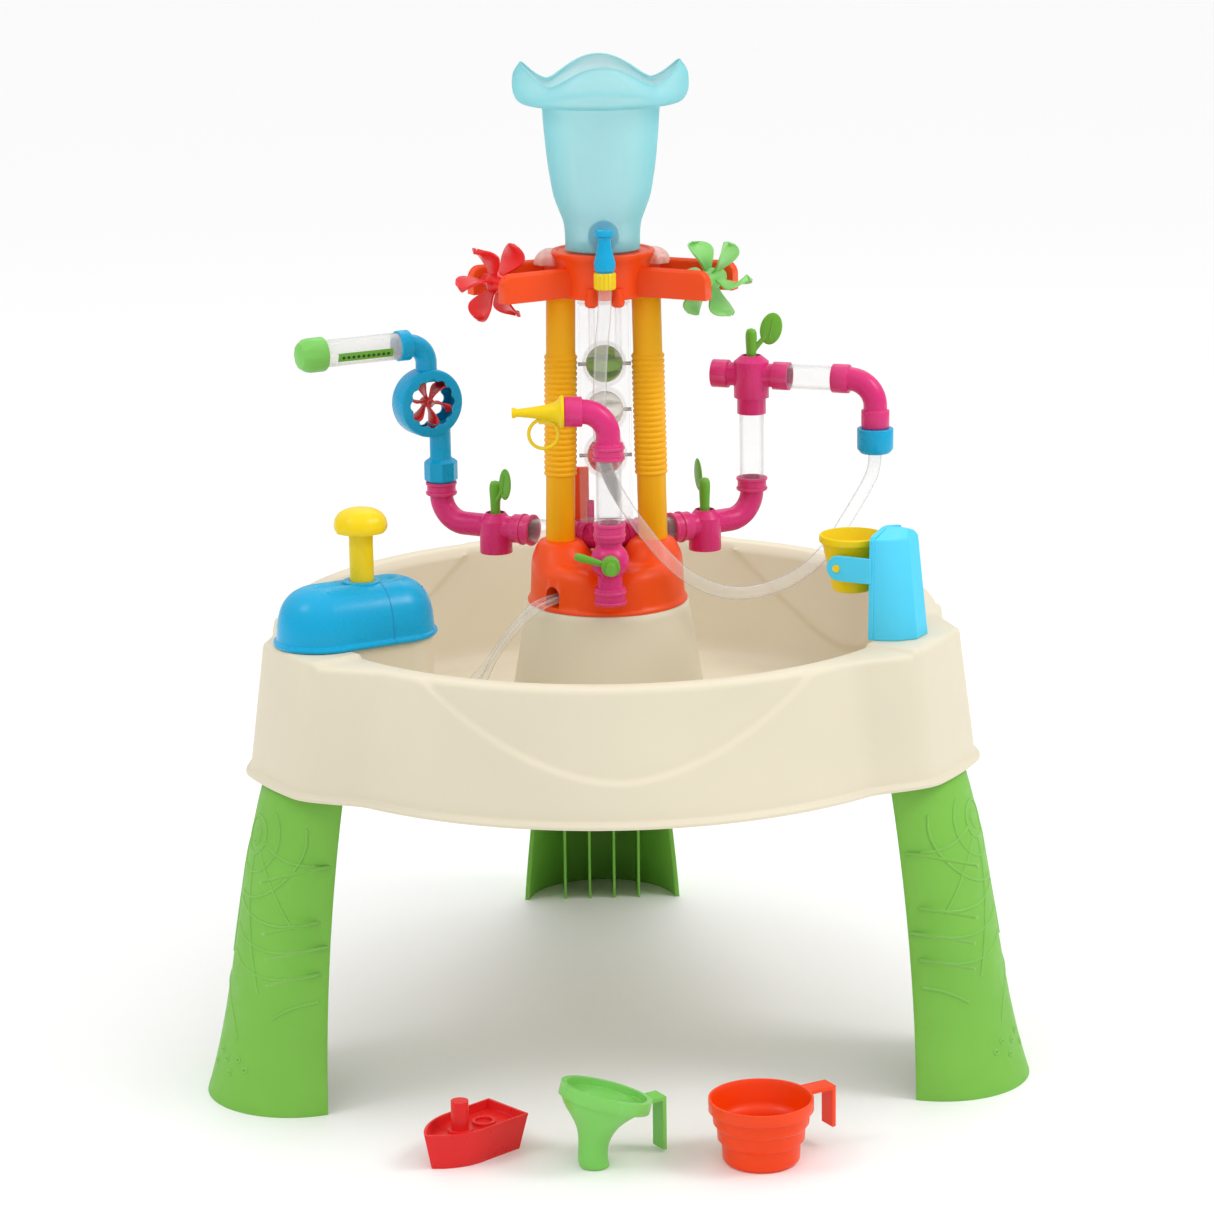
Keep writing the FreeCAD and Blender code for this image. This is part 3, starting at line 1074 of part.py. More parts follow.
def make_funnel():
    """A funnel whose rim is tilted to its upright spout, with a hooked grip."""
    tilt = Rotation(Vector(0, 1, 0), 17)
    rim_middle = Vector(12, 0, S.funnel_height.value)

    def section(radius, lift, inset, share):
        middle = rim_middle * share + Vector(0, 0, lift)
        middle.z = lift
        direction = Rotation(Vector(0, 1, 0), 17 * share).multVec(UP)
        return Part.Wire([Part.makeCircle(radius - inset, middle, direction)])

    rim, wall = S.funnel_radius.value, S.toy_wall.value
    stages = [(15, 0, 0), (16, 26, 0), (19, 36, 0.2), (rim - 4, 67, 0.9), (rim - 3, 70, 1)]
    outer = Part.makeLoft([section(radius, lift, 0, share) for radius, lift, share in stages], True)
    inner_stages = [(15, -1, 0), (16, 26, 0), (19, 37, 0.2), (rim - 4, 69, 0.9), (rim - 3, 74, 1)]
    inner = Part.makeLoft([section(radius, lift, wall, share) for radius, lift, share in inner_stages], True)
    axis = tilt.multVec(UP)
    band_foot = Vector(12, 0, 64)
    band = Part.makeCylinder(rim, 13, band_foot, axis)
    band = band.cut(Part.makeCylinder(rim - 3 - wall, 20, band_foot - axis * 3, axis))
    shell = outer.cut(inner).fuse(band)
    grip = Part.makeBox(30, 20, 4, Vector(rim + 3, -10, 55))
    drop = Part.makeBox(4, 20, 57, Vector(rim + 29, -10, 2))
    shape = shell.fuse([grip, drop])
    lowest = shape.BoundBox.ZMin
    shape.translate(Vector(0, 0, -lowest))
    place = Placement(Vector(-34, rim - S.toy_front_reach.value + 2, 0), Rotation(UP, 30))
    piece("funnel", feature_of(shape), place)


def make_boat():
    """A tug with a sunk deck, a funnel stack and a hatch ring; +X is its bow."""
    def plan(scale, height, side):
        stern, bow = -52 * scale, 62 * scale
        half = 30 * side
        points = [Vector(stern, -half, height), Vector(stern, half, height)]
        return Part.Wire([Part.LineSegment(points[0], points[1]).toShape(),
                          Part.LineSegment(points[1], Vector(0, half, height)).toShape(),
                          Part.Arc(Vector(0, half, height), Vector(bow * 0.62, half * 0.72, height),
                                   Vector(bow, 0, height)).toShape(),
                          Part.Arc(Vector(bow, 0, height), Vector(bow * 0.62, -half * 0.72, height),
                                   Vector(0, -half, height)).toShape(),
                          Part.LineSegment(Vector(0, -half, height), points[0]).toShape()])
    hull = Part.makeLoft([plan(0.86, 0, 0.78), plan(1, 38, 1)], True)
    sink = Part.makeLoft([plan(0.90, 29, 0.88), plan(0.95, 39, 0.93)], True)
    hull = hull.cut(sink)
    stack = Part.makeCylinder(9, 34, Vector(14, 0, 28)).fuse(Part.makeCylinder(13, 4, Vector(14, 0, 28)))
    hatch = Part.makeCylinder(12, 4, Vector(-18, 0, 28)).cut(Part.makeCylinder(9, 5, Vector(-18, 0, 29)))
    hollow = Part.makeLoft([plan(0.80, -1, 0.68), plan(0.86, 25, 0.8)], True)
    shape = hull.cut(hollow).fuse([stack, hatch])
    place = Placement(Vector(-158, -405, 0), Rotation(UP, 222))
    piece("boat", feature_of(shape), place)


def make_all():
    make_tub()
    for node, angle in (("leg_left", LEFT_LEG), ("leg_right", RIGHT_LEG), ("leg_back", BACK_LEG)):
        make_leg(node, angle)
    make_screws()
    make_drain_plug()
    make_tower_base()
    make_column("column_left", -1)
    make_column("column_right", 1)
    make_chute()
    make_spinners()
    make_pivot_pins()
    make_wheels()
    make_crown()
    make_splash_domes()
    make_flower()
    make_outlet()
    make_drip_straws()
    make_manifold()
    make_side_valves()
    make_front_pipe()
    make_right_pipe()
    make_fan_pipe()
    make_pump()
    make_bucket_unit()
    make_hoses()
    make_cup()
    make_funnel()
    make_boat()


def check_and_write():
    doc.recompute()
    for item in doc.Objects:
        if "Invalid" in item.State or "Error" in item.State:
            raise RuntimeError(f"{item.Name} ({item.Label}) failed: {item.State}")
    os.makedirs("parts", exist_ok=True)
    for node, feature in PIECES.items():
        shape = feature.Shape
        if shape.isNull() or not shape.isValid():
            raise RuntimeError(f"{node} has no valid shape")
        shape.exportStep(f"parts/{node}.step")
        print(node, "solids", len(shape.Solids), "volume cm3", round(shape.Volume / 1000, 2))


make_all()
check_and_write()
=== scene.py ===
"""Sand and water table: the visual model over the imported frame, its studio and its camera.

Shapes are worked out in millimetres and made in metres. Angles about the tower are in degrees from +X.
"""
import json
import math

import bmesh
import bpy
from mathutils import Matrix, Vector
from mathutils.bvhtree import BVHTree


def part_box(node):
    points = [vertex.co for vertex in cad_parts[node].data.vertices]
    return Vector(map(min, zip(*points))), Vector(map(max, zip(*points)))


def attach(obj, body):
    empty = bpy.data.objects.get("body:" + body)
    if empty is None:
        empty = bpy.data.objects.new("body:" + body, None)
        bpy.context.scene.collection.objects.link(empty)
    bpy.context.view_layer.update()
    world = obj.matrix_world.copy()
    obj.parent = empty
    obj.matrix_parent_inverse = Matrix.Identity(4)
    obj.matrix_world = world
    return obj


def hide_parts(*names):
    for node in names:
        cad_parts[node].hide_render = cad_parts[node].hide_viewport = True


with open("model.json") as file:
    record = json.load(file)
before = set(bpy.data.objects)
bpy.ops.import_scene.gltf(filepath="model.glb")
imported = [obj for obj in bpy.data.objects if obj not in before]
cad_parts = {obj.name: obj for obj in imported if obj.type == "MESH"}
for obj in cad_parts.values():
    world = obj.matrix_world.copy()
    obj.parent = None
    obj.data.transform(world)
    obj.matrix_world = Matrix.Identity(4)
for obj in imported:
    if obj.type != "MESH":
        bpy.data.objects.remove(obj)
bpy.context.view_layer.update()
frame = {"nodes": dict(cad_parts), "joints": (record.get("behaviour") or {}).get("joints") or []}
NODES = frame["nodes"]
MM = 0.001

LEFT_LEG, RIGHT_LEG, BACK_LEG = 210, 330, 90
LEFT_PIPE, RIGHT_PIPE = 150, 30
PUMP_ANGLE, SPRINKLER_ANGLE, CROSS_ANGLE, HOSE_ARCH_ANGLE = 208, 208, -20, 223
UP = Vector((0, 0, 1))


# --- the frame's places, in millimetres ---------------------------------------------------------

def corners(node):
    low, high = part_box(node)
    return low / MM, high / MM


def joint_place(name):
    """Where a hinge of the record stands, in millimetres, and its axis."""
    joint = next(item for item in frame["joints"] if item["name"] == name)
    return Vector(joint["pos_m"]) / MM, Vector(joint["axis"])


def polar(reach, angle, height=0.0):
    turn = math.radians(angle)
    return Vector((reach * math.cos(turn), reach * math.sin(turn), height))


def frame_at(at, angle=0.0):
    """A local frame at a point whose +X points along the angle."""
    return Matrix.Translation(Vector(at)) @ Matrix.Rotation(math.radians(angle), 4, "Z")


def along(at, axis):
    """A local frame at a point whose +Z points along the axis."""
    return Matrix.Translation(Vector(at)) @ Vector(axis).to_track_quat("Z", "Y").to_matrix().to_4x4()


# --- numbers ------------------------------------------------------------------------------------

def mix(a, b, share):
    return a + (b - a) * share


def smooth_step(low, high, value):
    share = min(max((value - low) / (high - low), 0.0), 1.0)
    return share * share * (3 - 2 * share)


def soft_min(a, b, reach):
    share = min(max(0.5 + 0.5 * (b - a) / reach, 0.0), 1.0)
    return mix(b, a, share) - reach * share * (1 - share)


def soft_max(a, b, reach):
    return -soft_min(-a, -b, reach)


def along_curve(points, share):
    """The point at a share of the way through a list of tuples, on a smooth line through them."""
    place = share * (len(points) - 1)
    index = min(int(place), len(points) - 2)
    t = place - index
    before = points[max(index - 1, 0)]
    start, end = points[index], points[index + 1]
    after = points[min(index + 2, len(points) - 1)]
    return tuple(0.5 * (2 * b + (c - a) * t + (2 * a - 5 * b + 4 * c - d) * t * t
                        + (3 * b - a - 3 * c + d) * t ** 3)
                 for a, b, c, d in zip(before, start, end, after))


def smooth_profile(points, steps=24):
    return [along_curve(points, step / steps) for step in range(steps + 1)]


# --- shapes: each is a pair of points and faces, in millimetres ---------------------------------

def skin(rings, caps=(True, True), closed=True):
    """Faces between rings of equal length, with flat caps on the first and last ring."""
    count = len(rings[0])
    points = [point for ring in rings for point in ring]
    faces = []
    for row in range(len(rings) - 1):
        for step in range(count if closed else count - 1):
            following = (step + 1) % count
            faces.append((row * count + step, row * count + following,
                          (row + 1) * count + following, (row + 1) * count + step))
    if caps[0]:
        faces.append(tuple(reversed(range(count))))
    if caps[1]:
        faces.append(tuple(range((len(rings) - 1) * count, len(rings) * count)))
    return points, faces


def circle(radius, height, sides=64):
    return [polar(radius, 360 * step / sides, height) for step in range(sides)]


def lathe(profile, sides=64, caps=(True, True)):
    """A shape turned about +Z from (radius, height) pairs; a radius of 0 closes it."""
    return skin([circle(max(radius, 0.01), height, sides) for radius, height in profile], caps)


def hollow_lathe(profile, sides=64):
    """A turned shape whose profile is a closed loop off the axis."""
    rings = [circle(radius, height, sides) for radius, height in profile + profile[:1]]
    return skin(rings, (False, False))


def stadium(radius, straight, height, sides=48):
    """A level ring with straight sides along X and two round ends."""
    ring = []
    for step in range(sides):
        point = polar(radius, 360 * (step + 0.5) / sides, height)
        point.x += straight / 2 if point.x > 0 else -straight / 2
        ring.append(point)
    return ring


def slab(length, width, height, middle=(0, 0, 0)):
    half = Vector((length, width, height)) / 2
    rings = [[Vector((x * half.x, y * half.y, z * half.z)) + Vector(middle)
              for x, y in ((-1, -1), (1, -1), (1, 1), (-1, 1))] for z in (-1, 1)]
    return skin(rings)


def sweep(path, radii, sides=20, flatten=1.0, side_hint=UP):
    """A tube along points, its radius given once or for each point."""
    if not isinstance(radii, (list, tuple)):
        radii = [radii] * len(path)
    rings = []
    normal = None
    for index, point in enumerate(path):
        ahead = path[min(index + 1, len(path) - 1)] - path[max(index - 1, 0)]
        ahead.normalize()
        if normal is None:
            normal = side_hint - ahead * side_hint.dot(ahead)
            if normal.length < 1e-3:
                normal = Vector((1, 0, 0)) - ahead * ahead.x
        normal = (normal - ahead * normal.dot(ahead)).normalized()
        across = ahead.cross(normal)
        rings.append([point + (normal * math.cos(2 * math.pi * k / sides)
                               + across * math.sin(2 * math.pi * k / sides) * flatten) * radii[index]
                      for k in range(sides)])
    return skin(rings)


def arc_path(centre, start, end, radius, steps=16, sweep_degrees=90):
    """Points of an arc about a centre, from the start direction towards the end direction."""
    return [Vector(centre) + (Vector(start) * math.cos(math.radians(sweep_degrees * k / steps))
                              + Vector(end) * math.sin(math.radians(sweep_degrees * k / steps))) * radius
            for k in range(steps + 1)]


def ellipsoid(size, middle, turn=None, sides=32, rows=16):
    rings = []
    for row in range(rows + 1):
        lift = math.cos(math.pi * row / rows)
        radius = max(math.sin(math.pi * row / rows), 0.002)
        ring = [Vector((radius * math.cos(2 * math.pi * k / sides) * size[0],
                        radius * math.sin(2 * math.pi * k / sides) * size[1], lift * size[2]))
                for k in range(sides)]
        rings.append(ring)
    part = skin(rings)
    turned = moved(part, turn) if turn else part
    return moved(turned, Matrix.Translation(Vector(middle)))


def moved(part, place):
    points, faces = part
    return [place @ Vector(point) for point in points], faces


# --- pieces -------------------------------------------------------------------------------------

def mesh_of(name, parts):
    """One mesh in metres from shapes in millimetres."""
    mesh = bpy.data.meshes.new(name)
    points, faces = [], []
    for part_points, part_faces in parts:
        start = len(points)
        points += [tuple(Vector(point) * MM) for point in part_points]
        faces += [tuple(index + start for index in face) for face in part_faces]
    mesh.from_pydata(points, [], faces)
    work = bmesh.new()
    work.from_mesh(mesh)
    bmesh.ops.remove_doubles(work, verts=work.verts, dist=0.02 * MM)
    bmesh.ops.recalc_face_normals(work, faces=work.faces)
    work.to_mesh(mesh)
    work.free()
    return mesh


def smooth(target, angle=35):
    for face in target.data.polygons:
        face.use_smooth = True
    target.data.set_sharp_from_angle(angle=math.radians(angle))


def bevel(target, width, segments=3, angle=32):
    rounding = target.modifiers.new("Rounding", "BEVEL")
    rounding.width = width * MM
    rounding.segments = segments
    rounding.limit_method = "ANGLE"
    rounding.angle_limit = math.radians(angle)
    rounding.harden_normals = True


def piece(name, parts, material, body="table", stands_for=(), rounding=0.0,
          smooth_angle=35):
    """A visual piece from shapes, riding on a body and standing for CAD nodes."""
    made = bpy.data.objects.new(name, mesh_of(name, parts))
    bpy.context.scene.collection.objects.link(made)
    made.data.materials.append(material)
    smooth(made, smooth_angle)
    if rounding:
        bevel(made, rounding)
    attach(made, body)
    if stands_for:
        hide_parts(*([stands_for] if isinstance(stands_for, str) else stands_for))
    return made


def finish_node(node, material, rounding=0.8):
    """A CAD node that stays: its material, and softened edges."""
    shown = NODES[node]
    shown.data.materials.clear()
    shown.data.materials.append(material)
    weld = shown.modifiers.new("Weld", "WELD")
    weld.merge_threshold = 0.01 * MM
    bevel(shown, rounding, segments=2)


def shell(target, thickness):
    wall = target.modifiers.new("Wall", "SOLIDIFY")
    wall.thickness = thickness * MM
    wall.offset = 0


# --- materials ----------------------------------------------------------------------------------

def colour(red, green, blue):
    """An sRGB colour of 0 to 255 as a linear one."""
    def linear(value):
        value /= 255
        return value / 12.92 if value <= 0.04045 else ((value + 0.055) / 1.055) ** 2.4
    return linear(red), linear(green), linear(blue), 1.0


class Nodes:
    """A material's node tree, with short calls for the nodes used here."""

    def __init__(self, name):
        self.material = bpy.data.materials.new(name)
        self.material.use_nodes = True
        self.tree = self.material.node_tree
        self.shader = self.tree.nodes["Principled BSDF"]
        self.place = self.add("ShaderNodeTexCoord").outputs["Object"]

    def add(self, kind, **settings):
        made = self.tree.nodes.new(kind)
        for key, value in settings.items():
            setattr(made, key, value)
        return made

    def link(self, source, target):
        self.tree.links.new(source, target)

    def noise(self, scale, detail=2.0, roughness=0.5):
        made = self.add("ShaderNodeTexNoise")
        made.inputs["Scale"].default_value = scale
        made.inputs["Detail"].default_value = detail
        made.inputs["Roughness"].default_value = roughness
        self.link(self.place, made.inputs["Vector"])
        return made.outputs["Fac"]

    def spread(self, source, low, high, from_low=0.3, from_high=0.7):
        made = self.add("ShaderNodeMapRange")
        for key, value in (("From Min", from_low), ("From Max", from_high), ("To Min", low),
                           ("To Max", high)):
            made.inputs[key].default_value = value
        self.link(source, made.inputs["Value"])
        return made.outputs["Result"]

    def blend(self, share, first, second):
        made = self.add("ShaderNodeMix", data_type="RGBA")
        self.link(share, made.inputs["Factor"])
        for index, value in ((6, first), (7, second)):
            if isinstance(value, tuple):
                made.inputs[index].default_value = value
            else:
                self.link(value, made.inputs[index])
        return made.outputs[2]

    def bump(self, source, depth, strength=0.5, base=None):
        made = self.add("ShaderNodeBump")
        made.inputs["Distance"].default_value = depth * MM
        made.inputs["Strength"].default_value = strength
        self.link(source, made.inputs["Height"])
        if base:
            self.link(base, made.inputs["Normal"])
        return made.outputs["Normal"]

    def set(self, **values):
        for key, value in values.items():
            self.shader.inputs[key.replace("_", " ")].default_value = value


def darker(tone, factor):
    return tone[0] * factor, tone[1] * factor, tone[2] * factor, 1.0


def plastic(name, tone, gloss=0.32, grain=0.05, mottle=0.05):
    """Moulded plastic: slightly uneven colour, fine grain, and edges worn a little paler."""
    nodes = Nodes(name)
    uneven = nodes.spread(nodes.noise(9, 3), 0.0, 1.0)
    body = nodes.blend(uneven, darker(tone, 1 - mottle), darker(tone, 1 + mottle))
    edge = nodes.add("ShaderNodeNewGeometry").outputs["Pointiness"]
    worn = nodes.spread(edge, 0.0, 0.10, 0.53, 0.60)
    pale = tuple(mix(value, 0.9, 0.5) for value in tone[:3]) + (1.0,)
    nodes.link(nodes.blend(worn, body, pale), nodes.shader.inputs["Base Color"])
    nodes.link(nodes.spread(nodes.noise(60, 4), gloss * 0.85, gloss * 1.2),
               nodes.shader.inputs["Roughness"])
    nodes.link(nodes.bump(nodes.noise(1400, 2), grain), nodes.shader.inputs["Normal"])
    nodes.set(IOR=1.47, Specular_IOR_Level=0.32)
    return nodes.material


def cast_plastic(name, tone):
    """The tub's blown plastic: satin, with a soft orange-peel surface."""
    nodes = Nodes(name)
    uneven = nodes.spread(nodes.noise(3.5, 3), 0.0, 1.0)
    body = nodes.blend(uneven, darker(tone, 0.96), darker(tone, 1.04))
    specks = nodes.spread(nodes.noise(420, 2), 0.0, 0.05, 0.55, 0.75)
    nodes.link(nodes.blend(specks, body, darker(tone, 0.8)), nodes.shader.inputs["Base Color"])
    nodes.link(nodes.spread(nodes.noise(35, 3), 0.38, 0.52), nodes.shader.inputs["Roughness"])
    peel = nodes.bump(nodes.noise(110, 2), 0.35, 0.25)
    nodes.link(nodes.bump(nodes.noise(900, 2), 0.12, 0.4, peel), nodes.shader.inputs["Normal"])
    nodes.set(IOR=1.45, Specular_IOR_Level=0.3)
    return nodes.material


def clear(name, tone=(0.95, 0.96, 0.96, 1.0), centre=0.05, rim=0.62, rough=0.06, edge=0.42):
    """Thin clear plastic: see-through face on, denser where the wall curves away, and darker there with
    painted refraction shade.
    """
    nodes = Nodes(name)
    facing = nodes.add("ShaderNodeLayerWeight")
    facing.inputs["Blend"].default_value = 0.3
    cloud = nodes.spread(nodes.noise(25, 3), -0.01, 0.02)
    sum_node = nodes.add("ShaderNodeMath", operation="ADD", use_clamp=True)
    nodes.link(nodes.spread(facing.outputs["Facing"], centre, rim, 0.15, 0.95), sum_node.inputs[0])
    nodes.link(cloud, sum_node.inputs[1])
    nodes.link(sum_node.outputs[0], nodes.shader.inputs["Alpha"])
    # Painted refraction shade: the colour is darkened by the edge factor where the wall turns away from view.
    nodes.link(nodes.blend(nodes.spread(facing.outputs["Facing"], 0.0, 1.0, 0.2, 0.85), tone,
                           darker(tone, edge)), nodes.shader.inputs["Base Color"])
    nodes.link(nodes.spread(nodes.noise(40, 2), rough, rough * 2), nodes.shader.inputs["Roughness"])
    nodes.set(IOR=1.5, Specular_IOR_Level=0.6)
    return nodes.material


def frosted(name, tone, passing=0.35):
    """The flower's milky translucent plastic, denser where the wall is seen edge-on, its colour darker teal
    there with painted shade.
    """
    nodes = Nodes(name)
    facing = nodes.add("ShaderNodeLayerWeight")
    facing.inputs["Blend"].default_value = 0.4
    # Painted shade: the colour turns a darker teal where the wall is seen edge-on.
    dense = nodes.blend(nodes.spread(facing.outputs["Facing"], 0.0, 1.0, 0.2, 0.95), tone,
                        (tone[0] * 0.42, tone[1] * 0.78, tone[2] * 0.82, 1.0))
    nodes.link(dense, nodes.shader.inputs["Base Color"])
    nodes.link(nodes.spread(facing.outputs["Facing"], 0.46, 0.92, 0.1, 0.9),
               nodes.shader.inputs["Alpha"])
    nodes.link(nodes.spread(nodes.noise(30, 3), 0.28, 0.40), nodes.shader.inputs["Roughness"])
    nodes.link(nodes.bump(nodes.noise(700, 2), 0.06), nodes.shader.inputs["Normal"])
    nodes.set(Transmission_Weight=passing, IOR=1.12, Specular_IOR_Level=0.4)
    return nodes.material


BEIGE = cast_plastic("tub_beige", colour(221, 212, 189))
LEG_GREEN = plastic("leg_green", colour(120, 184, 70), gloss=0.5, grain=0.14)
ORANGE = plastic("base_orange", colour(238, 76, 2), gloss=0.36)
CROWN_ORANGE = plastic("crown_orange", colour(238, 74, 14), gloss=0.36)
PINK = plastic("pipe_pink", colour(214, 44, 118), gloss=0.28)
YELLOW = plastic("column_yellow", colour(244, 178, 0), gloss=0.38)
LEMON = plastic("lemon", colour(238, 206, 2), gloss=0.30)
BLUE = plastic("bright_blue", colour(0, 164, 212), gloss=0.27)
SKY = plastic("sky_blue", colour(72, 204, 240), gloss=0.42)
SPROUT = plastic("sprout_green", colour(104, 172, 48), gloss=0.34)
RED = plastic("signal_red", colour(224, 34, 34), gloss=0.3)
APPLE = plastic("apple_green", colour(124, 202, 92), gloss=0.32)
PALE_GREEN = plastic("pale_green", colour(134, 204, 108), gloss=0.34)
CUP_ORANGE = plastic("cup_orange", colour(242, 66, 0), gloss=0.33)
WHITE = plastic("white_plastic", colour(236, 236, 230), gloss=0.35)
DARK = plastic("shadow_gap", colour(20, 70, 40), gloss=0.6)
LIME = plastic("spinner_lime", colour(110, 160, 20), gloss=0.34)
STEEL = plastic("steel", colour(176, 178, 182), gloss=0.25, grain=0.02)
STEEL.node_tree.nodes["Principled BSDF"].inputs["Metallic"].default_value = 1.0
# The edge factor of these clear materials sets their painted refraction shade at the rims.
CLEAR = clear("clear_tube")
CLEAR_WARM = clear("clear_chute", (0.96, 0.95, 0.93, 1.0), centre=0.04, rim=0.5)
VINYL = clear("vinyl_hose", (0.86, 0.86, 0.84, 1.0), centre=0.16, rim=0.9, rough=0.10, edge=0.28)
MILKY = clear("milky_tube", (0.96, 0.96, 0.94, 1.0), centre=0.22, rim=0.7, rough=0.12, edge=0.6)
FLOWER = frosted("flower_teal", colour(176, 232, 236))
DOME_PINK = clear("splash_dome", (0.98, 0.62, 0.55, 1.0), centre=0.40, rim=0.95, rough=0.12, edge=0.7)


# --- hoses --------------------------------------------------------------------------------------

def hose(name, route, diameter, replaced):
    """A hose on a smooth line whose control points are the route's."""
    curve = bpy.data.curves.new(name, "CURVE")
    curve.dimensions = "3D"
    curve.bevel_depth = diameter / 2
    curve.bevel_resolution = 6
    curve.resolution_u = 16
    spline = curve.splines.new("NURBS")
    spline.points.add(len(route) - 1)
    for point, place in zip(spline.points, route):
        point.co = (*place, 1.0)
    spline.order_u = 3
    spline.use_endpoint_u = True
    made = bpy.data.objects.new(name, curve)
    bpy.context.scene.collection.objects.link(made)
    curve.materials.append(VINYL)
    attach(made, "table")
    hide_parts(replaced)


TOWER_HOSE_ROUTE = [
    (0, -0.062, 0.8339), (0, -0.062, 0.810), (-0.005, -0.062, 0.764), (-0.008, -0.063, 0.705),
    (-0.007, -0.064, 0.650), (0.008, -0.067, 0.612), (0.038, -0.070, 0.567), (0.066, -0.067, 0.532),
    (0.094, -0.060, 0.508), (0.128, -0.046, 0.492), (0.166, -0.027, 0.489), (0.206, -0.008, 0.499),
    (0.240, 0.012, 0.523), (0.265, 0.031, 0.556), (0.288, 0.049, 0.588), (0.2979, 0.0573, 0.607),
    (0.2979, 0.0573, 0.6229),
]
PUMP_HOSE_ROUTES = {
    "pump_hose_front": [(-0.0379, -0.0422, 0.493), (-0.057, -0.060, 0.493), (-0.080, -0.081, 0.487),
                        (-0.104, -0.095, 0.468), (-0.123, -0.093, 0.442), (-0.134, -0.084, 0.417),
                        (-0.142, -0.079, 0.397), (-0.158, -0.084, 0.386), (-0.1765, -0.09384, 0.386)],
    "pump_hose_rear": [(-0.0447, -0.0349, 0.493), (-0.064, -0.053, 0.493), (-0.086, -0.068, 0.487),
                       (-0.107, -0.072, 0.463), (-0.125, -0.071, 0.437), (-0.140, -0.074, 0.417),
                       (-0.158, -0.084, 0.404), (-0.1765, -0.09384, 0.404)],
}


def make_hoses():
    hose("hose_to_right_pipe", TOWER_HOSE_ROUTE, 0.0145, "tower_hose")
    for node, route in PUMP_HOSE_ROUTES.items():
        hose(node + "_tube", route, 0.0076, node)


# --- tub ----------------------------------------------------------------------------------------

TUB_LOW, TUB_HIGH = corners("tub")
FLANGE = TUB_LOW.z
LOBE_TOP = max(TUB_HIGH.z - 3, 476)
RIM = LOBE_TOP - 4
LEDGE_HALF_WIDTH = 61


def from_leg(angle):
    """Degrees to the nearest leg's direction."""
    return abs((angle - BACK_LEG + 60) % 120 - 60)


def tub_radius(angle, height, inset=0.0):
    """The outside of the tub: a cone, with a lobe over each leg that runs softly into it."""
    share = (height - FLANGE) / (RIM - FLANGE)
    main = mix(384, 362, share) - inset
    away = from_leg(angle)
    if away > 21:
        return main
    front = mix(415, 396, share) - inset
    reach = soft_max(soft_min((17.5 - away) / 9, 1, 0.22), 0, 0.22)
    return main + (front - main) * reach


def swoosh(angle, height):
    """How far the wall is sunk above the long sweeping line between two legs."""
    across = abs(math.sin(math.radians(60 - from_leg(angle)))) * 372
    line = RIM - 96 + 96 * (across / 210) ** 1.75
    if across > 230:
        return 0.0
    return 4.2 * smooth_step(line - 1, line + 6.5, height)


def tub_angles():
    """Directions round the tub, closer together at the lobes' corners."""
    result = []
    for leg in (BACK_LEG, LEFT_LEG, RIGHT_LEG):
        result += [leg - 60 + step * 0.5 for step in range(0, 96)]
        result += [leg - 12 + step * 0.25 for step in range(0, 97)]
        result += [leg + 12 + step * 0.5 for step in range(1, 96)]
    return sorted(angle % 360 for angle in result)


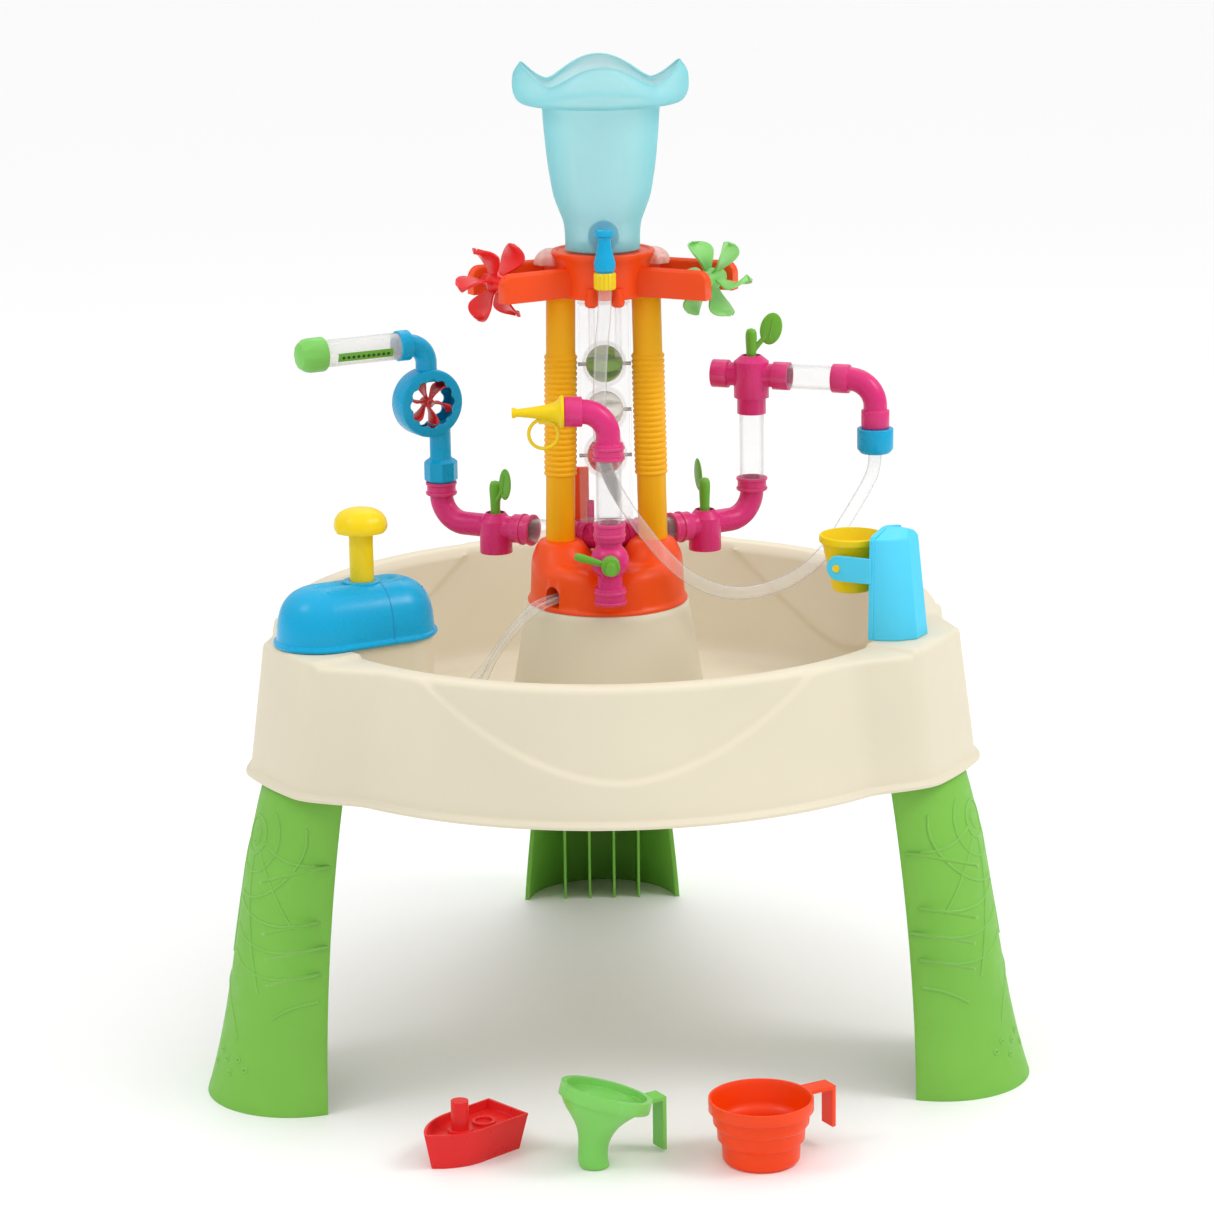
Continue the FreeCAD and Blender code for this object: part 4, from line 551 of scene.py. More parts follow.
def make_tub():
    angles = tub_angles()

    def ring(radius_at, height_at):
        return [polar(radius_at(angle), angle, height_at(angle)) for angle in angles]

    def level(height):
        return lambda angle: height

    def lobe_lift(angle):
        away = math.sin(math.radians(min(from_leg(angle), 60))) * 380
        return 4 * (1 - smooth_step(LEDGE_HALF_WIDTH - 8, LEDGE_HALF_WIDTH - 1, away))

    def outside(height, inset=0.0):
        return ring(lambda angle: tub_radius(angle, height, inset) - swoosh(angle, height),
                    lambda angle: height + lobe_lift(angle) * smooth_step(RIM - 20, RIM, height))

    rings = [ring(lambda angle: tub_radius(angle, FLANGE, 5), level(FLANGE)),
             ring(lambda angle: tub_radius(angle, FLANGE, -4.5), level(FLANGE)),
             ring(lambda angle: tub_radius(angle, FLANGE, -5), level(FLANGE + 2)),
             ring(lambda angle: tub_radius(angle, FLANGE, -4), level(FLANGE + 4.5)),
             ring(lambda angle: tub_radius(angle, FLANGE, 0), level(FLANGE + 6))]
    steps = 64
    rings += [outside(mix(FLANGE + 8, RIM - 6, step / steps)) for step in range(steps + 1)]
    rings += [outside(RIM - 3.5, 0.6), outside(RIM - 1.4, 2.0), outside(RIM - 0.2, 4.5)]
    rim_in = 333

    def inside(radius, height, lift=0.0):
        return ring(level(radius), lambda angle: height + lobe_lift(angle) * lift)

    rings += [inside(rim_in + 5, RIM, 1), inside(rim_in + 2, RIM - 1.2, 1), inside(rim_in, RIM - 4, 0.9)]
    floor = 338

    def basin(height):
        radius = mix(305, rim_in, (height - floor) / (RIM - floor))
        return ring(lambda angle: radius - 0.8 * swoosh(angle, height), level(height))

    rings += [basin(mix(RIM - 8, floor + 22, step / 30)) for step in range(31)]
    rings += [ring(level(305 + 3.2 - 18 * (1 - math.cos(math.radians(t)))),
                   level(floor + 18 - 18 * math.sin(math.radians(t)))) for t in (20, 45, 70, 90)]
    rings += [ring(level(radius), level(floor)) for radius in (240, 180, 138)]
    foot, top = 110, 89
    rings += [ring(level(foot + 16 * (1 - math.sin(math.radians(t)))),
                   level(floor + 16 - 16 * math.cos(math.radians(t)))) for t in (10, 35, 60, 85)]
    rings += [ring(level(mix(foot - 1.5, top, share)), level(mix(floor + 18, 474, share)))
              for share in (0.0, 0.35, 0.7, 0.97)]
    rings += [ring(level(radius), level(height)) for radius, height in
              ((top - 0.5, 477), (top - 3, 479), (60, 479), (0.01, 479), (0.01, 474), (84, 474),
               (106, FLANGE), (308, FLANGE), (336, RIM - 6))]
    rings += [ring(lambda angle: tub_radius(angle, RIM, 6), level(RIM - 6)),
              ring(lambda angle: tub_radius(angle, FLANGE, 5), level(FLANGE))]
    made = piece("tub_shell", [skin(rings, (False, False))], BEIGE, stands_for="tub",
                 smooth_angle=50)
    seat_frame = frame_at((0, 0, 0), PUMP_ANGLE) @ Matrix.Translation((302, 0, 0))
    rows = [(46.5 + 10 * (1 - math.sin(math.radians(t))), floor + 10 - 10 * math.cos(math.radians(t)))
            for t in (5, 30, 60, 90)] + [(45, 420), (44, 471)]
    rows += [(44 - 3 * (1 - math.cos(math.radians(t))), 473.2 + 3 * math.sin(math.radians(t)))
             for t in (0, 30, 60, 90)]
    seat = [stadium(radius, 76, height) for radius, height in rows]
    piece("pump_seat", [moved(skin(seat), seat_frame)], BEIGE, smooth_angle=50)
    return made


# --- legs ---------------------------------------------------------------------------------------

def surface_of(node):
    """A search tree over a CAD node's own faces, in millimetres."""
    mesh = NODES[node].data
    points = [vertex.co / MM for vertex in mesh.vertices]
    return BVHTree.FromPolygons(points, [tuple(face.vertices) for face in mesh.polygons])


def on_leg(tree, angle, side, height):
    """The point on a leg's outer face at a sideways distance and a height."""
    place = frame_at((0, 0, 0), angle)
    start = place @ Vector((620, side, height))
    hit = tree.ray_cast(start, place.to_3x3() @ Vector((-1, 0, 0)))[0]
    return hit if hit is not None else place @ Vector((470, side, height))


def vein_paths():
    """The raised veins of a leg as lists of (side, height): a bud with arcs, shoots, leaves and dots."""
    def arc(radius, start, stop):
        return [(8 + radius * math.cos(math.radians(t)), 283 + radius * math.sin(math.radians(t)))
                for t in range(start, stop + 1, 15)]
    paths = [arc(19, 0, 360), arc(9, 60, 300), arc(38, 135, 315), arc(64, 165, 285)]
    paths += [[(-10, 279), (-44, 264), (-80, 260)], [(-5, 268), (-30, 236), (-56, 196)],
              [(6, 264), (2, 222), (-12, 172), (-30, 124)], [(26, 276), (40, 240), (42, 190), (36, 150)]]
    for level in (206, 178, 150):
        paths.append([(-82, level), (-46, level - 9), (-8, level - 5), (22, level + 8)])
    paths.append([(-80, 120), (-66, 113), (-50, 100)])
    paths.append([(64, 128), (34, 116), (6, 92), (-10, 70)])
    for side, level in ((-30, 42), (-18, 50), (2, 46), (16, 52), (-8, 34), (28, 36)):
        paths.append([(side + 2.8 * math.cos(math.radians(t)), level + 2.2 * math.sin(math.radians(t)))
                      for t in range(0, 361, 45)])
    return paths


def make_legs():
    for node, angle in (("leg_left", LEFT_LEG), ("leg_right", RIGHT_LEG), ("leg_back", BACK_LEG)):
        finish_node(node, LEG_GREEN, 1.6)
        tree = surface_of(node)
        turn = -1 if node == "leg_left" else 1
        parts = []
        for path in vein_paths():
            dense = smooth_profile(path, 4 * len(path))
            line = [on_leg(tree, angle, turn * side, height) for side, height in dense]
            inward = polar(1, angle) * -0.55
            parts.append(sweep([point + inward for point in line], 1.7, sides=8))
        piece(node + "_veins", parts, LEG_GREEN)


# --- pump ---------------------------------------------------------------------------------------

def make_pump():
    pump = frame_at((0, 0, 0), PUMP_ANGLE)
    low, high = corners("pump_dome")
    foot, crest = low.z, high.z - 10.5
    half, straight, middle = 50, 80, 305
    profile = [(0.4, foot), (-0.4, foot + 2.2), (0.2, foot + 4.4), (2.6, foot + 5.4), (3.2, foot + 7)]
    profile += smooth_profile([(3.2, foot + 8), (4.5, foot + 24), (9, foot + 40), (17, foot + 51),
                               (27, foot + 57.5), (38, foot + 60.5), (47, crest)], 22)
    rings = [stadium(half - inset, straight, height, 72) for inset, height in profile]
    dome = moved(skin(rings), pump @ Matrix.Translation((middle, 0, 0)))
    knob_high = corners("plunger")[1]
    reach = 296
    at_stem = pump @ Matrix.Translation((reach, 0, 0))
    collar = moved(hollow_lathe([(12.9, crest - 3), (23, crest - 2), (22.5, crest + 0.6), (20.6, crest + 1.2),
                                 (20.2, crest + 3.8), (19.4, crest + 4.4), (13.4, crest + 4.4),
                                 (12.9, crest + 3.6)]), at_stem)
    piece("pump_cover", [dome, collar], BLUE, stands_for="pump_dome", rounding=0.3,
          smooth_angle=55)
    seam_at = middle - 22
    seam = [Vector((seam_at, -(half - inset) - 0.05, height)) for inset, height in profile[1:]]
    seam += [Vector((point.x, -point.y, point.z)) for point in reversed(seam)]
    piece("pump_seam", [moved(sweep(seam, 0.35, 6), pump)],
          plastic("seam_blue", colour(6, 120, 180), 0.4))
    # The slots are dark blue ellipsoids on the dome: painted shade in the slot recesses.
    slots = []
    for turn, height in ((158, foot + 48), (168, foot + 14), (176, foot + 14)):
        inset = 15.5 if height > foot + 40 else 3.6
        at = Vector((middle - straight / 2, 0, height)) + polar(half - inset, turn)
        slots.append(moved(ellipsoid((1.2, 2.6, 1.5), at), pump))
    piece("pump_slots", slots, plastic("slot_shade_blue", colour(4, 70, 120), 0.5))

    def facet(angle):
        return 1 - 0.016 * (1 - math.cos(math.radians(angle * 9)))
    top = knob_high.z
    knob = [(12.6, top - 26), (20, top - 26.5), (26.6, top - 25), (28.4, top - 21.5), (28.5, top - 17),
            (27, top - 11), (23, top - 5.6), (17.5, top - 2.2), (12.5, top - 0.8),
            (6, top - 0.1), (0.01, top)]
    rings = []
    for radius, height in knob:
        rings.append([polar(radius * facet(360 * k / 90), 360 * k / 90, height) for k in range(90)])
    stem_foot = top - 26
    stem = lathe([(12.7, 520), (12.7, stem_foot - 3), (13.6, stem_foot + 0.5)])
    shaft = lathe([(8, 450), (8, 521)])
    piston = lathe([(17.7, 436), (17.7, 449.6), (8, 449.8)])
    piece("plunger_knob", [moved(part, at_stem) for part in (skin(rings), stem, shaft, piston)], LEMON,
          body="plunger", stands_for="plunger", smooth_angle=48)
    finish_node("pump_cylinder", WHITE, 0.5)
    finish_node("pump_spring", STEEL, 0.01)


# --- tower base ---------------------------------------------------------------------------------

def make_tower_base():
    low = corners("tower_base")[0]
    foot, plateau = low.z, 526
    column_reach = 51

    def height_at(x, y):
        rise = 0.0
        for side in (-1, 1):
            away = math.hypot(x - side * column_reach, y * 0.86)
            rise = max(rise, 20 * (1 - smooth_step(20, 41, away)))
        valley = 13 * math.exp(-(x / 21) ** 2) * smooth_step(18, 76, -y)
        return plateau + rise - valley

    def wall(angle):
        dip = math.exp(-(((angle - 270) / 15) ** 2))
        return 84 - 5.0 * dip

    sides = 180
    angles = [360 * k / sides for k in range(sides)]
    rows = [[polar(84, angle, foot + 0.1) for angle in angles],
            [polar(87, angle, foot + 0.1) for angle in angles],
            [polar(87.2, angle, foot + 2) for angle in angles],
            [polar(86, angle, foot + 4) for angle in angles],
            [polar(wall(angle) + 0.8, angle, foot + 5.2) for angle in angles],
            [polar(wall(angle), angle, foot + 9) for angle in angles],
            [polar(wall(angle) - 0.8, angle, foot + 24) for angle in angles]]
    corner = 15
    for t in (0, 18, 36, 54, 72, 90):
        drop = 1 - math.sin(math.radians(t))
        pull = 1.6 + corner * (1 - math.cos(math.radians(t)))
        row = []
        for angle in angles:
            point = polar(wall(angle) - pull, angle)
            point.z = height_at(point.x, point.y) - corner * drop
            row.append(point)
        rows.append(row)
    for share in (0.9, 0.8, 0.7, 0.6, 0.5, 0.4, 0.3, 0.2, 0.1, 0.001):
        row = []
        for angle in angles:
            point = polar((wall(angle) - 1.6 - corner) * share, angle)
            point.z = height_at(point.x, point.y)
            row.append(point)
        rows.append(row)
    body = mesh_of("tower_base_body", [skin(rows)])
    made = bpy.data.objects.new("tower_base_body", body)
    bpy.context.scene.collection.objects.link(made)
    arch = [Vector((0, 10 * math.cos(math.radians(t)), 12 + 10 * math.sin(math.radians(t))))
            for t in range(0, 181, 15)]
    arch += [Vector((0, -10, 0)), Vector((0, 10, 0))]
    rings = [[point + Vector((reach, 0, 5)) for point in arch] for reach in (52, 100)]
    cutter = bpy.data.objects.new("cutter", mesh_of("cutter", [
        moved(skin(rings), frame_at((0, 0, foot), HOSE_ARCH_ANGLE))]))
    carve(made, cutter)
    made.data.materials.append(ORANGE)
    smooth(made, 50)
    bevel(made, 0.7, 2, 40)
    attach(made, "table")
    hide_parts("tower_base")
    strut = slab(17, 5, 92, (-26, 47, 570))
    piece("rear_strut", [strut], ORANGE, rounding=1.5)
    finish_node("base_screws", STEEL, 0.3)
    finish_node("drain_plug", WHITE, 0.8)


def carve(target, cutter):
    """Take the cutter's shape out of the target's mesh."""
    bpy.context.scene.collection.objects.link(cutter)
    difference = target.modifiers.new("Carve", "BOOLEAN")
    difference.operation = "DIFFERENCE"
    difference.object = cutter
    difference.solver = "EXACT"
    evaluated = target.evaluated_get(bpy.context.evaluated_depsgraph_get())
    carved = bpy.data.meshes.new_from_object(evaluated)
    target.modifiers.clear()
    target.data = carved
    bpy.data.objects.remove(cutter)


# --- tower --------------------------------------------------------------------------------------

def make_tower():
    for node in ("column_left", "column_right"):
        finish_node(node, YELLOW, 0.6)
    for node in ("chute_front", "chute_back"):
        finish_node(node, CLEAR_WARM, 0.6)
    finish_node("spinner_top", LIME, 0.7)
    finish_node("spinner_middle", WHITE, 0.7)
    finish_node("spinner_bottom", RED, 0.7)
    finish_node("pivot_pins", STEEL, 0.3)
    make_crown()
    make_splash_domes()
    finish_node("drip_straws", CLEAR, 0.2)
    make_wheel("wheel_red_vanes", "wheel_red", RED, -1)
    make_wheel("wheel_green_vanes", "wheel_green", PALE_GREEN, 1)


def make_splash_domes():
    """Two crinkled clear bubbles beside the flower."""
    parts = []
    for side in (-1, 1):
        sides, rows = 64, []
        for row in range(13):
            tilt = math.radians(90 * row / 12)
            ring = []
            for k in range(sides):
                crinkle = 1 + 0.055 * math.sin(math.radians(8 * 360 * k / sides)) * math.cos(tilt) ** 0.6
                ring.append(polar(16.8 * crinkle * max(math.cos(tilt), 0.002), 360 * k / sides,
                                  16.8 * math.sin(tilt)))
            rows.append(ring)
        parts.append(moved(skin(rows, (False, True)), Matrix.Translation((side * 56, 33, 842))))
    domes = piece("splash_bubbles", parts, DOME_PINK, stands_for="splash_domes",
                  smooth_angle=60)
    shell(domes, 1.0)


def make_crown():
    """The hub under the flower, with four soft-topped arms, a rear beam and two drip bosses."""
    high = corners("crown")[1]
    foot, top = high.z - 56, high.z
    hub_profile = [(44, foot + 8), (47.6, foot + 7), (48.2, foot + 8.5)]
    hub_profile += smooth_profile([(48.2, foot + 10), (47.4, foot + 20), (48, foot + 32), (51, foot + 43),
                                   (54.8, foot + 51), (55.4, foot + 54.6)], 18)
    hub_profile += [(54.4, top), (50.4, top), (48.5, top - 1.6), (0.01, top - 2)]
    hub_profile = [(0.01, foot + 9)] + hub_profile
    parts = [lathe(hub_profile, 96, (False, False))]
    arm_top = foot + 40
    for side in (-1, 1):
        parts.append(crown_arm((side * 34, -24), (side * 109, -67), arm_top))
        parts.append(crown_arm((side * 50, 52), (side * 142, 2.5), arm_top))
        boss = lathe([(0.01, foot), (4.2, foot), (6.6, foot + 1.6), (7.4, foot + 5), (7.0, foot + 9),
                      (5.6, foot + 13), (5, foot + 20), (0.01, foot + 20)], 32)
        parts.append(moved(boss, Matrix.Translation((side * 14, -45, 0))))
        cup = hollow_lathe([(16.4, foot + 6), (19, foot + 6), (19.4, foot + 7.2), (19.4, foot + 14),
                            (16.4, foot + 14)], 48)
        parts.append(moved(cup, Matrix.Translation((side * 46, 0, 0))))
    beam = slab(124, 27, 30, (0, 44, arm_top - 15))
    parts.append(beam)
    piece("crown_body", parts, CROWN_ORANGE, stands_for="crown", rounding=1.6,
          smooth_angle=40)


def crown_arm(start, end, top):
    """A fork arm as a bar with round upper edges, its end rounded off and its top a little sunk."""
    start, end = Vector((*start, 0)), Vector((*end, 0))
    ahead = (end - start).normalized()
    across = Vector((-ahead.y, ahead.x, 0))
    length, half, tall = (end - start).length, 7, 31
    section = [(-half, -tall), (-half, -5.5), (-half + 0.9, -2.2), (-half + 3, -0.3), (-half + 4.2, -0.2),
               (-half + 5, -1.4), (half - 5, -1.4), (half - 4.2, -0.2), (half - 3, -0.3),
               (half - 0.9, -2.2), (half, -5.5), (half, -tall)]
    rings = []
    corner = 11
    stations = [(0, 0.0), (length - corner, 0.0)]
    stations += [(length - corner + corner * math.sin(math.radians(t)),
                  corner * (1 - math.cos(math.radians(t)))) for t in (20, 40, 60, 80)]
    for reach, drop in stations:
        rings.append([start + ahead * reach + across * x
                      + UP * (top + (max(z - drop, -tall) if z > -tall else z)) for x, z in section])
    return skin(rings)


def vane(root, tip, widest, curl, cup, steps=14, across=9):
    """A spoon-shaped vane, from the hub outwards along X, its width along Z."""
    rows = []
    for step in range(steps + 1):
        share = step / steps
        radius = mix(root, tip, share)
        half = widest / 2 * (0.26 + 0.74 * smooth_step(0.0, 0.62, share)) \
            * math.sqrt(max(1 - (max(share - 0.60, 0) / 0.402) ** 2, 0.0))
        row = []
        for k in range(across):
            side = 2 * k / (across - 1) - 1
            bow = curl * math.sin(math.pi * share * 0.8) + cup * side * side * share
            row.append(Vector((radius, bow, side * half)))
        rows.append(row)
    return skin(rows, (False, False), closed=False)


def make_wheel(name, node, material, side):
    place, axis = joint_place(node + "_spin")
    place = along(place, axis)
    parts = []
    for index in range(6):
        turn = Matrix.Rotation(math.radians(60 * index + 42), 4, "Z")
        parts.append(moved(vane(5, 42.5, 46, 12, 6), place @ turn))
    blades = piece(name, parts, material, body=node, stands_for=node)
    shell(blades, 2.2)
    bevel(blades, 0.5, 2, 50)
    hub = moved(hollow_lathe([(3.1, -23), (7, -23), (8, -21.5), (8.6, -8), (11.5, -3), (11.5, 3),
                              (8.6, 8), (8, 21.5), (7, 23), (3.1, 23)], 40), place)
    piece(name + "_hub", [hub], material, body=node, rounding=0.4)


def make_flower():
    low, high = corners("flower_bowl")
    foot, top = low.z, high.z
    outer = smooth_profile([(40, foot), (40, foot + 12), (41.4, foot + 28), (46.4, foot + 42),
                            (51.6, foot + 57), (54.6, foot + 73), (57.5, foot + 93),
                            (60.4, foot + 122), (62.6, top)], 36)
    inner = [(radius - 2.3, max(height, foot + 2.5)) for radius, height in reversed(outer)]
    profile = [(0.01, foot), (33, foot)] + outer + inner + [(0.01, foot + 2.5)]
    piece("flower_cup", [lathe(profile, 96, (False, False))], FLOWER, stands_for="flower_bowl",
          smooth_angle=40)
    tip_low, tip_high = corners("flower_petals")
    base, tip = tip_low.z + 0.4, tip_high.z - 1
    tall = [(61.8, base), (76, base), (86, base + 3), (91.5, base + 12), (92.5, base + 24),
            (90.5, base + 34), (84, tip)]
    low_line = [(61.8, base), (74, base), (82, base + 2), (85, base + 8), (84, base + 13),
                (82, base + 17), (78, base + 21)]
    rows, sides = [], 192
    for step in range(29):
        share = step / 28
        row = []
        for k in range(sides):
            angle = 360 * k / sides
            swell = (0.5 + 0.5 * math.cos(math.radians(4 * angle))) ** 0.8
            high_point, low_point = along_curve(tall, share), along_curve(low_line, share)
            row.append(polar(mix(low_point[0], high_point[0], swell), angle,
                             mix(low_point[1], high_point[1], swell)))
        rows.append(row)
    petals = piece("flower_rim", [skin(rows, (False, False))], FLOWER, stands_for="flower_petals",
                   smooth_angle=60)
    shell(petals, 1.8)
    bevel(petals, 0.5, 2, 50)
    edge = [point * 1.0 for point in rows[-1]] + rows[-1][:1]
    piece("flower_edge", [sweep(edge, 1.15, 8)], FLOWER)


def make_outlet():
    low = corners("outlet_spout")[0]
    reach = 62
    post = Matrix.Translation((0, -reach, 0))
    bottle = lathe([(0.01, low.z), (9, low.z), (9, low.z + 3), (11.2, low.z + 4.5), (11.5, low.z + 12),
                    (9.8, low.z + 19), (7.6, low.z + 27), (7, low.z + 34), (7, low.z + 37.5),
                    (7.6, low.z + 38), (7.6, low.z + 39.5), (10.2, low.z + 41), (10.4, low.z + 44),
                    (9.4, low.z + 46.6), (0.01, low.z + 47)], 48)
    barrel = moved(lathe([(7, 0), (7, 36)], 40), along((0, -23, 880), (0, -1, 0)))
    piece("outlet_bottle", [moved(bottle, post), barrel], BLUE, stands_for="outlet_spout", rounding=0.6)
    washer = lathe([(0.01, 0), (15.5, 0), (16.5, 0.8), (16.5, 2.6), (13, 3.4), (0.01, 3.4)], 48)
    piece("outlet_washer", [moved(washer, along((0, -29.5, 880), (0, -1, 0)))], BLUE,
          stands_for="outlet_nut")
    nut_low = corners("hose_nut")[0]
    rings = []
    for radius, height in ((10.4, 0), (11.6, 1.5), (11.8, 16), (11, 17.6), (9.4, 18)):
        rings.append([polar(radius - (0.9 if (k // 3) % 2 else 0), 360 * k / 96, nut_low.z + height)
                      for k in range(96)])
    piece("hose_nut_ribs", [moved(skin(rings, (False, False)), post)], LEMON, stands_for="hose_nut",
          smooth_angle=25)


# --- pipes --------------------------------------------------------------------------------------

def make_pipes():
    for node in ("manifold", "left_valve", "right_valve", "front_valve", "tee_valve", "front_elbow",
                 "down_elbow"):
        finish_node(node, PINK, 1.1)
    for node in ("link_tubes", "riser_tube", "front_tube", "cross_tube"):
        finish_node(node, CLEAR, 0.3)
    finish_node("hose_cap", BLUE, 1.0)
    make_collar_beads()
    make_horn()
    make_fan_pipe()
    for body, leaf_turn in (("left_handle", -60), ("right_handle", 105), ("tee_handle", 0)):
        make_sprout(body, leaf_turn)
    make_lever()


def make_collar_beads():
    """The moulded rings round the mouths of the pink collars."""
    level = joint_place("left_handle_turn")[0].z
    hub = Vector((0, 10, level))
    mouths = []
    for angle, reach, riser in ((LEFT_PIPE, 91, 208), (RIGHT_PIPE, 82, 191)):
        branch = polar(1, angle)
        mouths += [(hub + branch * reach, branch), (hub + branch * 44, -branch),
                   (hub + branch * riser + UP * 45, -UP)]
    front = Vector((0, -100, level))
    mouths += [(front - UP * 47, UP), (front + UP * 41, -UP), (front + UP * 109, UP)]
    rings = []
    for at, axis in mouths:
        bead = hollow_lathe([(15.5, 0.2), (16.9, 0.2), (17.4, 0.8), (17.4, 2.8), (16.9, 3.4), (15.5, 3.4)])
        second = moved(bead, Matrix.Translation((0, 0, 11)))
        rings += [moved(part, along(at, axis)) for part in (bead, second)]
    piece("collar_beads", rings, PINK)


def make_sprout(body, leaf_turn):
    """A valve handle like a sprout: a stalk with a leaf that leans from it."""
    at = joint_place(body + "_turn")[0]
    place = frame_at(at, leaf_turn)
    high = corners(body)[1]
    tall = high.z - at.z
    stalk = lathe([(9.8, -24), (9.8, 12.6), (5.6, 13), (5.4, 20), (6.0, 34), (6.4, 42), (6.0, 47),
                   (4.4, 50.6), (0.01, 52)], 36)
    web = sweep([Vector((2, 0, 27)), Vector((8, 0, 34)), Vector((15, 0, 42)), Vector((20, 0, 47))],
                [3.4, 3.0, 2.6, 2.2], 16, 0.9)
    leaf = ellipsoid((12.2, 2.6, 18), (0, 0, 0), Matrix.Rotation(math.radians(12), 4, "Y"))
    leaf = moved(leaf, Matrix.Translation((22, 0, tall - 12)))
    groove = sweep([Vector((22 + dz * 0.21, -2.7, tall - 12 + dz)) for dz in (-10, -4, 3, 10)], 0.7, 8)
    piece(body + "_sprout", [moved(part, place) for part in (stalk, web, leaf, groove)], SPROUT,
          body=body, stands_for=body, smooth_angle=50)


def make_lever():
    """The front valve's handle: a round knob with a lever that points to the left."""
    at, axis = joint_place("front_handle_turn")
    low, high = corners("front_handle")
    front = low.y
    tip = Vector((low.x + 5.5, front + 7, high.z - 7))
    knob = ellipsoid((8.2, 8.2, 8.2), (0, front + 8, at.z))
    path = [mix(Vector((-3, front + 8, at.z)), tip, share) for share in (0, 0.25, 0.5, 0.75, 0.93, 1)]
    arm = sweep(path, [3.0, 3.4, 4.0, 4.5, 4.3, 2.0], 18, 0.62, Vector((0, 0, 1)))
    stub = moved(lathe([(9.8, -18), (9.8, 12), (6, 13), (6, 26)], 36), along(at, axis))
    piece("front_lever", [knob, arm, stub], SPROUT, body="front_handle", stands_for="front_handle",
          smooth_angle=50)


def make_horn():
    """The yellow horn nozzle with its finger ring."""
    high = corners("horn_nozzle")[1]
    level = joint_place("front_nozzle_swivel")[0]
    start, middle_z = -46, high.z - 18
    place = along((start, level.y, middle_z), (-1, 0, 0))
    body = [(3.4, -12), (13.2, -12), (13.2, 0), (17.4, 0.2), (18, 1), (18, 3), (17.2, 3.8)]
    body += smooth_profile([(14.5, 5), (10.5, 11), (8, 20), (6.2, 32), (4.8, 43), (4.2, 50)], 16)
    body += [(5.4, 51.5), (5.6, 54.5), (4.8, 55), (3.4, 55)]
    ring_centre = Vector((start - 22, level.y, middle_z - 23))
    loop = [ring_centre + Vector((15.5 * math.cos(t * math.pi / 24), 0, 15.5 * math.sin(t * math.pi / 24)))
            for t in range(49)]
    fins = [slab(26, 1.6, 5, (start - 14, level.y, middle_z - 10))]
    piece("horn", [moved(hollow_lathe(body, 64), place), sweep(loop, 1.9, 12, 1, Vector((0, 1, 0)))] + fins,
          LEMON, body="front_nozzle", stands_for="horn_nozzle", rounding=0.3)


def make_fan_pipe():
    """The blue swivel pipe: an octagonal nut, a round window with a fan, a bend and a collar."""
    axis_at, _ = joint_place("fan_pipe_swivel")
    fan_at, fan_axis = joint_place("fan_spin")
    foot = frame_at((axis_at.x, axis_at.y, 0), SPRINKLER_ANGLE)
    low = corners("fan_housing")[0]
    bottom, level, offset, half = low.z, fan_at.z, 15, 14.5
    housing = 37.8
    tube_low, tube_high = corners("sprinkler_tube")
    top = (tube_low.z + tube_high.z) / 2
    nut_rows = [(16.4, 0), (18.4, 2), (18.4, 22), (14.5, 25.5)]
    nut = [[polar(radius / math.cos(math.radians(((45 * k / 4) + 22.5) % 45 - 22.5)) * 0.94,
                  45 * k / 4, bottom + 14 + height) for k in range(32)] for radius, height in nut_rows]
    spigot = lathe([(13.5, bottom), (13.5, bottom + 15)], 48)
    neck = lathe([(14, bottom + 38), (11.8, bottom + 42), (11.8, level - 30), (14, level - 24)], 48)
    upper = sweep([Vector((offset, 0, level + 24)), Vector((offset, 0, level + 32)),
                   Vector((offset, 0, level + 38))] +
                  arc_path((offset + 22, 0, top - 22), (-1, 0, 0), (0, 0, 1), 22, 14) +
                  [Vector((offset + 27, 0, top))], 11.8, 40, 1, Vector((0, 1, 0)))
    collar = moved(hollow_lathe([(10, 0), (16.8, 0), (16.8, 13), (15.2, 14), (15.1, 4), (10, 4)], 56),
                   along((offset + 22, 0, top), (1, 0, 0)))
    parts = [skin(nut), spigot, neck, upper, collar]
    window = along((offset, 0, level), (0, 1, 0))
    sides = 120

    def scallop(angle):
        return 27.5 - 2.6 * abs(math.sin(math.radians(angle * 6))) ** 3
    rings = []
    for radius, depth in ((housing, 4 - half), (housing - 1, 1.2 - half), (housing - 3.5, -half),
                          (None, -half), (None, 2.6 - half), (housing - 2.5, 2.6 - half),
                          (housing - 2.5, half - 2.6), (None, half - 2.6), (None, half),
                          (housing - 3.5, half), (housing - 1, half - 1.2), (housing, half - 4),
                          (housing, 4 - half)):
        rings.append([polar(scallop(360 * k / sides) if radius is None else radius, 360 * k / sides, depth)
                      for k in range(sides)])
    parts.append(moved(skin(rings, (False, False)), window))
    piece("fan_pipe_body", [moved(part, foot) for part in parts], BLUE, body="fan_pipe",
          stands_for=("fan_housing", "fan_cover"), rounding=0.5, smooth_angle=40)
    spin = along(fan_at, fan_axis)
    blades = []
    for index in range(6):
        turn = Matrix.Rotation(math.radians(60 * index + 20), 4, "Z")
        blades.append(moved(vane(3, 29, 25, 8, 5), spin @ turn))
    fan = piece("fan_blades", blades, RED, body="fan", stands_for="fan")
    shell(fan, 1.6)
    hub = hollow_lathe([(2.2, -8.5), (4.6, -8.5), (5.4, -7), (5.4, 7), (4.6, 8.5), (2.2, 8.5)], 32)
    hub = moved(hub, spin)
    piece("fan_hub", [hub], RED, body="fan")
    finish_node("fan_axle", STEEL, 0.2)
    make_sprinkler(foot, top, offset)


